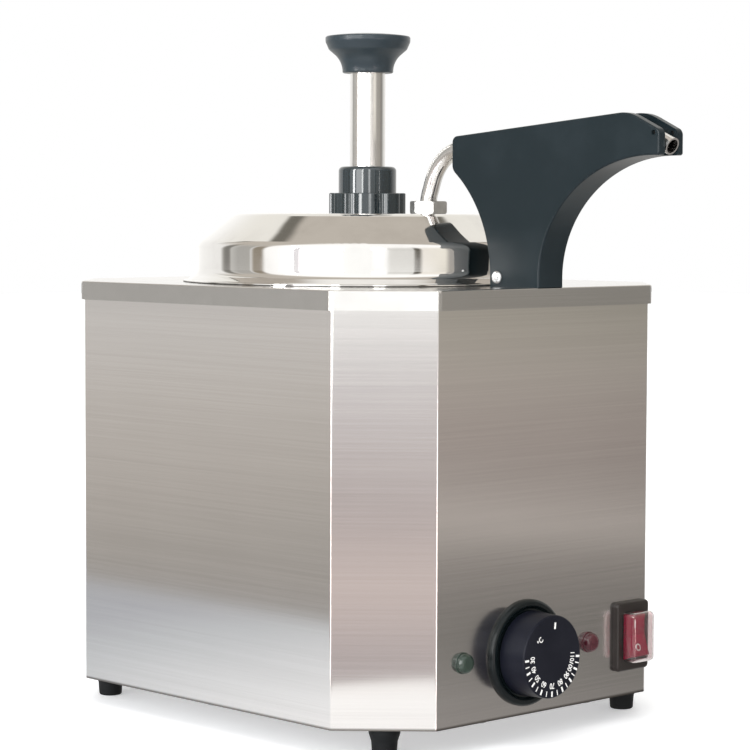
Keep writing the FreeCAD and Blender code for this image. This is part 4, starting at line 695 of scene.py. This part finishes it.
@dataclass
class Casing:
    """The steel wrap, its top plate and the plate that closes it below."""

    shop: Shop
    corners: int = 8
    seam_width: float = 0.4 * MM
    seam_depth: float = 0.1 * MM
    seam_stop: float = 1.4 * MM

    def rim_seams(self) -> bpy.types.Object:
        """The open seams at the corners of the top plate's rim.

        Corner k is the mesh point farthest along the direction at (k + 1/2) times 45 degrees.

        Returns:
            The dark lines as one piece.
        """
        points = self.shop.points("top_plate")
        turn = (np.arange(self.corners) + 0.5) * FULL_TURN / self.corners
        out = np.stack([np.cos(turn), np.sin(turn), 0 * turn], axis=-1)
        tangent = np.stack([-np.sin(turn), np.cos(turn), 0 * turn], axis=-1)
        corner = points[np.argmax(points @ out.T, axis=0)]
        low, high = points[:, 2].min(), points[:, 2].max() - self.seam_stop
        corner[:, 2] = (low + high) / 2
        half = np.array([0.0, 0.0, (high - low) / 2])
        shape = blocks(corner - out * self.seam_depth / 4, half, tangent * self.seam_width / 2,
                       out * self.seam_depth / 2)
        return new_piece("rim_seams", *shape)

    def build(self) -> None:
        """Dresses the sheet metal and draws the rim's seams."""
        low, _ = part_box("casing_wrap")
        # The walls' painted shade line sits at the wrap's lowest point.
        self.shop.dress(BrushedSteel("brushed_walls", foot=low.z), "casing_wrap")
        self.shop.dress(BRUSHED_PLATE, "top_plate")
        self.shop.dress(MILL_STEEL, "base_plate")
        self.shop.dress(ZINC, "base_screws")
        self.shop.keep(self.rim_seams(), DARK_SEAM_AND_SHADE, "base", "plain_steel")


@dataclass
class Feet:
    """Four rubber feet, each on a screw."""

    shop: Shop

    def build(self) -> None:
        """Dresses the feet and their screws."""
        ends, sides = ("front", "rear"), ("left", "right")
        self.shop.dress(RUBBER, *(f"foot_{end}_{side}" for end in ends for side in sides))
        self.shop.dress(ZINC, "foot_screws")


@dataclass
class Bath:
    """The water well, the jar in it and the heater under it."""

    shop: Shop

    def build(self) -> None:
        """Dresses what is inside the casing."""
        self.shop.dress(MILL_STEEL, "water_well", "food_jar", "heater_ring", "heater_strap", "bulb_clips")
        self.shop.dress(ZINC, "heater_stud")
        self.shop.dress(COPPER, "thermostat_bulb")
        self.shop.dress(IVORY, "safety_cutout", "terminal_block", "thermostat_body")
        self.shop.dress(BRASS, "earth_stud")
        self.shop.dress(SATIN_BLACK, "cable_gland", "gland_nut", "gland_lock_nut")


@dataclass
class Lamps:
    """The green and the red pilot lamp."""

    shop: Shop

    def build(self) -> None:
        """Dresses the lenses and their bodies."""
        self.shop.dress(GREEN_LENS, "green_lamp_lens")
        self.shop.dress(RED_LENS, "red_lamp_lens")
        self.shop.dress(SATIN_BLACK, "green_lamp_body", "red_lamp_body")


@dataclass
class Dial:
    """The thermostat's bezel and its printed knob."""

    shop: Shop
    number_ring: float = 15.8 * MM
    number_size: float = 4.62 * MM
    number_step: int = 10
    narrowing: float = 0.86
    boldness: float = 0.05 * MM
    spacing: float = 0.96
    curve_steps: int = 4
    mark_start: float = 18.9 * MM
    mark_end: float = 21.9 * MM
    mark_width: float = 1.15 * MM
    small_mark_width: float = 0.6 * MM
    pointer_start: float = 15.3 * MM
    pointer_end: float = 18.8 * MM
    pointer_width: float = 1.3 * MM
    pointer_turn: float = 6.0
    unit_ring: float = 13.8 * MM
    unit_turn: float = -46.0
    print_depth: float = 0.05 * MM
    turns: tuple[float, ...] = (-90, -110, -131, -154, -179, -203, -225, -245, -265)
    lowest: int = 30

    def seat(self) -> Seat:
        """The middle of the knob's face."""
        low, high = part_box("thermostat_knob")
        return Seat(((low.x + high.x) / 2, low.y, (low.z + high.z) / 2), up=(0.0, 0.0, 1.0),
                    out=(0.0, -1.0, 0.0))

    def bars(self) -> Shape:
        """Every mark and the pointer.

        A bar at a turn t, clockwise from the top, lies along (sin t, cos t) on the face. It is sunk by half
        the print's depth and stands out by the whole of it.

        Returns:
            Their points and faces.
        """
        major = np.array(self.turns, float)
        minor = (major[1:] + major[:-1]) / 2
        rows = [(t, self.mark_start, self.mark_end, self.mark_width) for t in major]
        rows += [(t, self.mark_start, self.mark_end, self.small_mark_width) for t in minor]
        rows.append((self.pointer_turn, self.pointer_start, self.pointer_end, self.pointer_width))
        turn, start, end, width = np.array(rows).T[:, :, None]
        turn = np.radians(turn)
        along = np.concatenate([np.sin(turn), np.cos(turn), 0 * turn], axis=-1)
        aside = np.concatenate([np.cos(turn), -np.sin(turn), 0 * turn], axis=-1)
        rise = np.array([0.0, 0.0, self.print_depth])
        points, faces = blocks(along * (start + end) / 2 + rise / 4, along * (end - start) / 2,
                               aside * width / 2, rise * 3 / 4)
        return self.seat().world(points), faces

    def words(self) -> list[bpy.types.Mesh]:
        """The numbers and the degree mark, their tops turned outwards.

        Returns:
            A thin mesh for each.
        """
        numbers = [str(self.lowest + self.number_step * i) for i in range(len(self.turns))]
        lines = [(number, turn, self.number_ring) for number, turn in zip(numbers, self.turns)]
        lines.append(("°C", self.unit_turn, self.unit_ring))
        made = []
        for line, turn, ring in lines:
            letters = bpy.data.curves.new("dial_letters", "FONT")
            letters.body = line
            letters.size = self.number_size
            letters.align_x, letters.align_y = "CENTER", "CENTER"
            letters.extrude = self.print_depth
            letters.offset = self.boldness
            letters.space_character = self.spacing
            letters.resolution_u = self.curve_steps
            holder = bpy.data.objects.new("dial_letters", letters)
            mesh = bpy.data.meshes.new_from_object(holder)
            angle = math.radians(turn)
            away = Matrix.Translation((ring * math.sin(angle), ring * math.cos(angle), 0.0))
            narrow = Matrix.Diagonal((self.narrowing, 1.0, 1.0, 1.0))
            mesh.transform(self.seat().matrix() @ away @ Matrix.Rotation(-angle, 4, "Z") @ narrow)
            bpy.data.objects.remove(holder)
            made.append(mesh)
        return made

    def print_face(self) -> bpy.types.Object:
        """The marks, the pointer and the letters together.

        Returns:
            The print, as one piece.
        """
        points, faces = self.bars()
        mesh = bpy.data.meshes.new("dial_print")
        mesh.from_pydata(points.tolist(), [], faces.tolist())
        work = bmesh.new()
        work.from_mesh(mesh)
        for letters in self.words():
            work.from_mesh(letters)
            bpy.data.meshes.remove(letters)
        work.to_mesh(mesh)
        work.free()
        return finished("dial_print", mesh)

    def build(self) -> None:
        """Dresses the dial and prints its face."""
        self.shop.dress(BEZEL_BLACK, "thermostat_bezel")
        self.shop.dress(DIAL_BLACK, "thermostat_knob")
        self.shop.dress(ZINC, "thermostat_shaft", "thermostat_screws")
        self.shop.keep(self.print_face(), PRINT_WHITE, "knob", "white_plastic")


@dataclass
class Switch:
    """The rocker switch under its splash cover, with an on and an off mark printed on the rocker."""

    shop: Shop
    on_share: float = 0.76
    off_share: float = 0.26
    bar_length: float = 4.6 * MM
    ring_radius: float = 2.1 * MM
    stroke: float = 0.7 * MM
    print_depth: float = 0.05 * MM
    segments: int = 48

    def seat(self, share: float) -> Seat:
        """A seat on the rocker's face, this share of the way up it."""
        low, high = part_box("switch_rocker")
        return self.shop.facing("switch_rocker", (low.x + high.x) / 2, low.z + (high.z - low.z) * share)

    def marks(self) -> bpy.types.Object:
        """The bar for on and the ring for off.

        Returns:
            Both, as one piece.
        """
        upper, lower = self.seat(self.on_share), self.seat(self.off_share)
        along = np.array(upper.up) * self.bar_length / 2
        aside = np.array(upper.right) * self.stroke / 2
        bar = blocks(np.array([upper.origin]), along, aside, np.array(upper.out) * self.print_depth)
        inner = self.ring_radius - self.stroke
        outer, depth = self.ring_radius, self.print_depth
        profile = [(inner, -depth), (outer, -depth), (outer, depth), (inner, depth)]
        return new_piece("rocker_print", *joined(bar, turned(profile, lower, self.segments)))

    def build(self) -> None:
        """Dresses the switch and prints its rocker."""
        self.shop.dress(SWITCH_BLACK, "switch_body")
        self.shop.dress(ROCKER_RED, "switch_rocker")
        self.shop.dress(CLEAR_COVER, "switch_cover")
        self.shop.keep(self.marks(), PRINT_WHITE, "rocker", "white_plastic")


@dataclass
class Spout:
    """The moulded spout housing, what warms it and what fixes it."""

    shop: Shop

    def build(self) -> None:
        """Dresses the spout."""
        self.shop.dress(SPOUT_BLACK, "spout_housing")
        self.shop.dress(MILL_STEEL, "spout_bracket", "spout_heater")
        self.shop.dress(ALUMINIUM, "spout_heat_bar")
        self.shop.dress(RUBBER, "lead_grommet")
        self.shop.dress(ZINC, "bracket_screws", "housing_screws")


@dataclass
class Lid:
    """The polished lid, with a thin dark ring of painted shade under its brim."""

    shop: Shop
    gap_foot: float = 0.02 * MM
    shade_ring_height: float = 0.6 * MM
    shade_ring_depth: float = 0.8 * MM
    proud: float = 0.03 * MM
    segments: int = 256

    def painted_shade_ring(self) -> bpy.types.Object:
        """A thin dark ring round the foot of the brim: painted shade where the brim meets the plate.

        Returns:
            The ring.
        """
        # The ring is painted shade: a dark piece put where the brim's contact shadow falls.
        low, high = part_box("lid")
        outer = (high.x - low.x) / 2 + self.proud
        inner = outer - self.shade_ring_depth
        foot, top = self.gap_foot, self.shade_ring_height
        profile = [(inner, foot), (outer, foot), (outer, top), (inner, top)]
        return new_piece("brim_painted_shade", *turned(profile, Seat((0.0, self.shop.axis_y, low.z)), self.segments))

    def build(self) -> None:
        """Dresses the lid and draws the painted shade line under its brim."""
        self.shop.dress(MirrorSteel("mirror_lid", axis_y=self.shop.axis_y), "lid")
        self.shop.keep(self.painted_shade_ring(), DARK_SEAM_AND_SHADE, "lid_and_pump", "polished_steel")


@dataclass
class Pump:
    """The hand pump, from its knob down to its valve, and the tube that leaves it."""

    shop: Shop
    stroke: float = 45.0 * MM
    tube_gloss: float = 0.19

    def spring(self) -> None:
        """Puts a copy of the spring, with a mesh of its own, in place of the CAD one."""
        coil = self.shop.copy_of("pump_spring", "return_spring")
        self.shop.keep(coil, MILL_STEEL, "lid_and_pump", "plain_steel")
        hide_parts("pump_spring")
        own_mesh(coil)

    def build(self) -> None:
        """Dresses the pump and makes its spring."""
        tube = MirrorSteel("mirror_tube", axis_y=self.shop.axis_y, gloss=self.tube_gloss)
        self.shop.dress(tube, "plunger_tube", "pump_cylinder", "discharge_tube",
                        "inlet_ball", "outlet_ball")
        self.shop.dress(NUT_STEEL, "tube_nut")
        self.shop.dress(KNOB_BLACK, "pump_knob")
        self.shop.dress(GLOSS_BLACK, "pump_cap", "lock_nut")
        self.shop.dress(MILL_STEEL, "foot_valve", "cage_pin", "tube_sleeve", "pump_spring")
        self.shop.dress(WHITE_PLASTIC, "piston")
        self.shop.dress(RUBBER, "piston_seals")
        self.spring()


# Studio

@dataclass(frozen=True)
class Lens:
    """The camera: where it stands, which way it looks and how long its lens is."""

    stand: Triple = (-1.0548, -1.07567, 0.2934)
    yaw: float = 43.79
    pitch: float = 3.69
    roll: float = -0.0035
    focal_pixels: float = 2593.43

    def ways(self) -> tuple[Vector, Vector, Vector]:
        """The directions of the picture.

        Returns:
            To its right, down it and into it.
        """
        yaw, pitch = math.radians(self.yaw), math.radians(self.pitch)
        ahead = Vector((math.sin(yaw) * math.cos(pitch), math.cos(yaw) * math.cos(pitch), -math.sin(pitch)))
        right = Vector((math.cos(yaw), -math.sin(yaw), 0.0))
        down = ahead.cross(right)
        turned_right = right * math.cos(self.roll) + down * math.sin(self.roll)
        turned_down = down * math.cos(self.roll) - right * math.sin(self.roll)
        return turned_right, turned_down, ahead

    def build(self) -> None:
        """Adds the camera and makes it the scene's."""
        right, down, ahead = self.ways()
        data = bpy.data.cameras.new("view_camera")
        data.sensor_width = SENSOR
        data.lens = self.focal_pixels * SENSOR / PIXELS
        camera = bpy.data.objects.new("view_camera", data)
        turn = Matrix((right, -down, -ahead)).transposed().to_4x4()
        camera.matrix_world = Matrix.Translation(Vector(self.stand)) @ turn
        bpy.context.scene.collection.objects.link(camera)
        bpy.context.scene.camera = camera


@dataclass(frozen=True)
class Window:
    """A lit stretch of the room: its bounds, in degrees round and up, and the light that it adds."""

    start: float
    end: float
    lowest: float
    highest: float
    extra: float
    side: float = 0.5
    sill: float = 1.0

    def light(self, about: Signal, lift: Signal) -> Signal:
        """The light by direction.

        Args:
            about: the direction's degrees round.
            lift: its degrees up.
        Returns:
            The extra light inside the window, and none outside.
        """
        opens = about.step(self.start - self.side, self.start + self.side)
        closes = about.step(self.end + self.side, self.end - self.side)
        over_sill = lift.step(self.lowest, self.lowest + self.sill)
        under_top = lift.step(self.highest, self.highest - self.sill)
        return opens * closes * (over_sill * under_top) * self.extra


@dataclass(frozen=True)
class Surroundings:
    """What the steel mirrors: a pale room with soft windows, by direction.

    Directions are in degrees: round, from the way to the camera, to the picture's right; and up. A pair is
    where one thing starts to give way to the next, and where it has.
    """

    power: float = 1.3
    low: float = -12.0
    top: float = 12.0
    horizon: Stops = (
        (-180, 0.89, 0.88, 0.86), (-150, 0.83, 0.82, 0.8), (-117, 0.8, 0.79, 0.77),
        (-113, 0.28, 0.27, 0.25), (-110, 0.19, 0.185, 0.17), (-106, 0.21, 0.2, 0.185),
        (-104, 0.48, 0.47, 0.445), (-97, 0.38, 0.37, 0.35), (-85, 0.39, 0.38, 0.355),
        (-84, 0.8, 0.79, 0.78), (-82.5, 0.27, 0.235, 0.185), (-75, 0.26, 0.225, 0.18),
        (-72.5, 0.95, 0.94, 0.92), (-53, 1.0, 1.0, 1.0), (-51, 0.74, 0.72, 0.74), (-46, 0.74, 0.72, 0.74),
        (-43, 1.0, 1.0, 1.0), (-10, 0.96, 0.96, 0.945), (5, 0.96, 0.96, 0.945), (13, 1.0, 1.0, 0.99),
        (15, 0.71, 0.7, 0.67), (31, 0.68, 0.67, 0.64), (32.5, 0.13, 0.12, 0.1), (35.5, 0.11, 0.1, 0.085),
        (37.5, 0.82, 0.78, 0.72), (54, 0.8, 0.76, 0.68), (57, 0.36, 0.34, 0.32), (80, 0.27, 0.255, 0.23),
        (103, 0.28, 0.265, 0.24), (112, 0.55, 0.54, 0.52), (140, 0.74, 0.73, 0.71), (180, 0.89, 0.88, 0.86),
    )
    left: Stops = (
        (-12, 0.37, 0.35, 0.33), (-8.5, 0.37, 0.345, 0.32), (-7.5, 0.4, 0.375, 0.345),
        (-6.2, 0.47, 0.435, 0.4), (-4.2, 0.545, 0.51, 0.475), (-2, 0.67, 0.645, 0.625),
    )
    middle: Stops = (
        (-12, 0.47, 0.42, 0.42), (-9.6, 0.47, 0.42, 0.42), (-9.1, 0.56, 0.48, 0.46),
        (-8.7, 0.86, 0.72, 0.67), (-8.0, 0.72, 0.61, 0.57), (-7.3, 0.49, 0.425, 0.415),
        (-6.6, 0.45, 0.395, 0.39), (-5.9, 0.55, 0.5, 0.485), (-5.2, 0.6, 0.545, 0.54),
        (-4.4, 0.64, 0.6, 0.6), (-3.4, 0.71, 0.68, 0.68), (-2.7, 0.9, 0.88, 0.87), (-2, 1.0, 1.0, 0.98),
    )
    right: Stops = (
        (-12, 0.3, 0.28, 0.265), (-10.8, 0.295, 0.275, 0.26), (-10.0, 0.2, 0.19, 0.175),
        (-9.3, 0.19, 0.18, 0.165), (-8.2, 0.24, 0.22, 0.205), (-7.35, 0.26, 0.24, 0.22),
        (-7.1, 0.69, 0.63, 0.58), (-6.85, 0.72, 0.655, 0.605), (-6.6, 0.36, 0.325, 0.3),
        (-5, 0.35, 0.3, 0.275), (-3.6, 0.43, 0.39, 0.35), (-2.2, 0.38, 0.355, 0.3),
    )
    behind: Colour = (0.6, 0.59, 0.57)
    high_behind: Colour = (0.77, 0.75, 0.7)
    overhead: Colour = (0.48, 0.44, 0.39)
    high_front: Colour = (1.0, 0.99, 0.97)
    beam: Colour = (0.15, 0.14, 0.12)
    left_to_middle: Pair = (-78, -68)
    middle_to_right: Pair = (36, 60)
    right_to_back: Pair = (106, 116)
    left_to_back: Pair = (-108, -118)
    low_to_horizon: Pair = (-2.2, -1.2)
    horizon_to_high: Pair = (16, 42)
    beam_centre: float = 0.144
    beam_bow: float = 0.7
    behind_to_beam: Pair = (-0.47, -0.44)
    beam_to_overhead: Pair = (-0.41, -0.38)
    overhead_to_front: Pair = (0.1, 0.35)
    wall_start: Pair = (60, 84)
    wall_end: Pair = (122, 112)
    wall_top: Pair = (16, 8)
    wall_gain: float = 0.11
    wall_fall: float = 0.4
    fall_start: Pair = (88, 98)
    windows: Sequence[Window] = (
        Window(-59, -51, -15, 36, 12.0), Window(-46, -22, -3.5, 36, 3.0), Window(-22, -17, -3.5, 36, 9.0),
        Window(4, 11, -0.9, 36, 4.0), Window(26, 37, -16, -4, 9.0),
    )

    def ramp(self, bench: Bench, stops: Stops, low: float, high: float, by: Signal) -> Signal:
        """A colour by a direction's degrees, on a ramp that goes from low to high degrees."""
        shares = [((place - low) / (high - low), *colour) for place, *colour in stops]
        return bench.add("ValToRGB", {"stops": shares}, {"Fac": (by - low) / (high - low)})

    def near(self, bench: Bench, about: Signal, lift: Signal) -> Signal:
        """The room's walls, and what lies below the horizon.

        Args:
            bench: where the nodes go.
            about: the direction's degrees round.
            lift: its degrees up.
        Returns:
            The colour.
        """
        left, middle, right = (self.ramp(bench, stops, self.low, self.top, lift)
                               for stops in (self.left, self.middle, self.right))
        room = bench.blend(about.step(*self.left_to_middle), left, middle)
        room = bench.blend(about.step(*self.middle_to_right), room, right)
        at_back = about.step(*self.left_to_back) + about.step(*self.right_to_back)
        room = bench.blend(at_back, room, self.behind)
        level = self.ramp(bench, self.horizon, -HALF_CIRCLE, HALF_CIRCLE, about)
        return bench.blend(lift.step(*self.low_to_horizon), room, level)

    def high(self, bench: Bench, towards: Signal, aside: Signal) -> Signal:
        """What is overhead: from the back, a bright part, a bowed dark beam, a grey part and the front sky.

        Args:
            bench: where the nodes go.
            towards: how much of the direction goes to the camera, from -1 to 1.
            aside: how much of it goes to the picture's right, from -1 to 1.
        Returns:
            The colour.
        """
        bow = towards + (aside * aside - self.beam_centre) * self.beam_bow
        room = bench.blend(bow.step(*self.behind_to_beam), self.high_behind, self.beam)
        room = bench.blend(bow.step(*self.beam_to_overhead), room, self.overhead)
        return bench.blend(towards.step(*self.overhead_to_front), room, self.high_front)

    def build(self, lens: Lens) -> None:
        """Makes the world: plain white to the camera, the room to every other ray.

        Args:
            lens: the camera, which the directions start from.
        """
        world = bpy.data.worlds.new("studio_room")
        world.use_nodes = True
        bpy.context.scene.world = world
        bench = Bench(world.node_tree)
        x, y, z = bench.parts(bench.add("TexCoord", output="Generated"))
        right, _, ahead = lens.ways()
        aside = x * right.x + y * right.y
        towards = x * -ahead.x + y * -ahead.y
        about = aside.maths("ARCTAN2", aside, towards) * math.degrees(1)
        lift = z.maths("ARCSINE", z) * math.degrees(1)
        room = bench.blend(lift.step(*self.horizon_to_high), self.near(bench, about, lift),
                           self.high(bench, towards, aside))
        wall = about.step(*self.wall_start) * about.step(*self.wall_end) * lift.step(*self.wall_top)
        fall = about.step(*self.fall_start) * self.wall_fall
        strength = self.power * (1 + wall * (self.wall_gain - fall))
        for window in self.windows:
            strength = strength + window.light(about, lift)
        glow = bench.add("Background", {}, {"Color": room, "Strength": strength})
        plain = bench.add("Background", {}, {"Color": (1.0, 1.0, 1.0), "Strength": 1.0})
        seen = bench.add("LightPath", output="Is Camera Ray")
        mixed = bench.add("MixShader", {}, {0: seen, 1: glow, 2: plain})
        bench.add("OutputWorld", {}, {"Surface": mixed})


@dataclass(frozen=True)
class Table:
    """The plain pale floor, and the white sheet on it that the steel mirrors, with painted shade that
    darkens it towards the back.
    """

    reach: float = 6.0
    floor_tones: Stops = ((0, 0.9, 0.915, 0.94),)
    floor_glow: float = 0.36
    sheet: Sequence[Pair] = (
        (-0.252, -0.282), (-0.11, -0.282), (-0.11, 0.8), (-0.44, 0.8), (-0.43, 0.12),
    )
    sheet_level: float = 0.2 * MM
    # Painted shade: the sheet's tones darken from its front edge towards the back.
    sheet_painted_shade: Stops = (
        (0.2, 0.82, 0.82, 0.83), (0.3, 0.69, 0.7, 0.72), (0.42, 0.575, 0.59, 0.615),
        (0.56, 0.455, 0.475, 0.505), (0.7, 0.35, 0.365, 0.4),
    )
    sheet_glow: float = 0.5
    front: float = -0.3

    def plane(self, name: str, corners: Sequence[Pair], height: float, tones: Stops,
              glow: float) -> bpy.types.Object:
        """A flat stage piece.

        Args:
            name: its name.
            corners: its corners.
            height: its level.
            tones: its colours by how many metres behind the front line they are, from 0 to 1.
            glow: how much light it gives of its own.
        Returns:
            The object.
        """
        points = np.column_stack([corners, np.full(len(corners), height)])
        piece = new_piece(name, points, np.arange(len(corners))[None])
        material = bpy.data.materials.new(name)
        material.use_nodes = True
        bench = Bench(material.node_tree)
        _, back, _ = bench.parts(bench.place())
        tone = bench.add("ValToRGB", {"stops": tones}, {"Fac": back - self.front})
        shader = bench.add("BsdfPrincipled", {}, {
            "Base Color": tone, "Roughness": 0.9, "Specular IOR Level": 0.1,
            "Emission Color": tone, "Emission Strength": glow})
        bench.add("OutputMaterial", {}, {"Surface": shader})
        piece.data.materials.append(material)
        return piece

    def build(self) -> None:
        """Lays the floor and the sheet, which only the steel sees."""
        far = self.reach
        floor = self.plane("floor", ((-far, -far), (far, -far), (far, far), (-far, far)), 0.0,
                           self.floor_tones, self.floor_glow)
        hide(floor, "glossy", "transmission")
        sheet = self.plane("white_sheet", self.sheet, self.sheet_level, self.sheet_painted_shade, self.sheet_glow)
        hide(sheet, "transmission", "camera", "diffuse", "shadow")


@dataclass(frozen=True)
class SoftBox:
    """A soft light with a square front, over the table."""

    stand: Triple = (-0.5, -0.4, 1.8)
    aim: Triple = (0.0, 0.0, 0.2)
    side: float = 1.2
    power: float = 6.0

    def build(self) -> None:
        """Hangs the light and turns it to its aim."""
        data = bpy.data.lights.new("overhead_light", "AREA")
        data.size = self.side
        data.energy = self.power
        light = bpy.data.objects.new("overhead_light", data)
        light.location = self.stand
        light.rotation_mode = "QUATERNION"
        light.rotation_quaternion = (Vector(self.aim) - Vector(self.stand)).to_track_quat("-Z", "Y")
        hide(light, "camera", "glossy")
        bpy.context.scene.collection.objects.link(light)


def main() -> None:
    """Builds the studio and every sub-assembly in order."""
    logging.basicConfig(level=logging.INFO, format="%(name)s: %(message)s")
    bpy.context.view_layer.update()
    lens = Lens()
    lens.build()
    Surroundings().build(lens)
    Table().build()
    SoftBox().build()
    bpy.context.scene.view_settings.view_transform = "Standard"
    low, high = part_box("pump_knob")
    shop = Shop(frame["nodes"], (low.y + high.y) / 2)
    for kind in (Casing, Feet, Bath, Lamps, Dial, Switch, Spout, Lid, Pump):
        kind(shop).build()
        LOG.info("%s built", kind.__name__)
    bare = sorted(set(shop.nodes) - shop.dressed)
    if bare:
        raise ValueError(f"these nodes have no finish yet: {bare}")


if __name__ == "__main__":
    main()
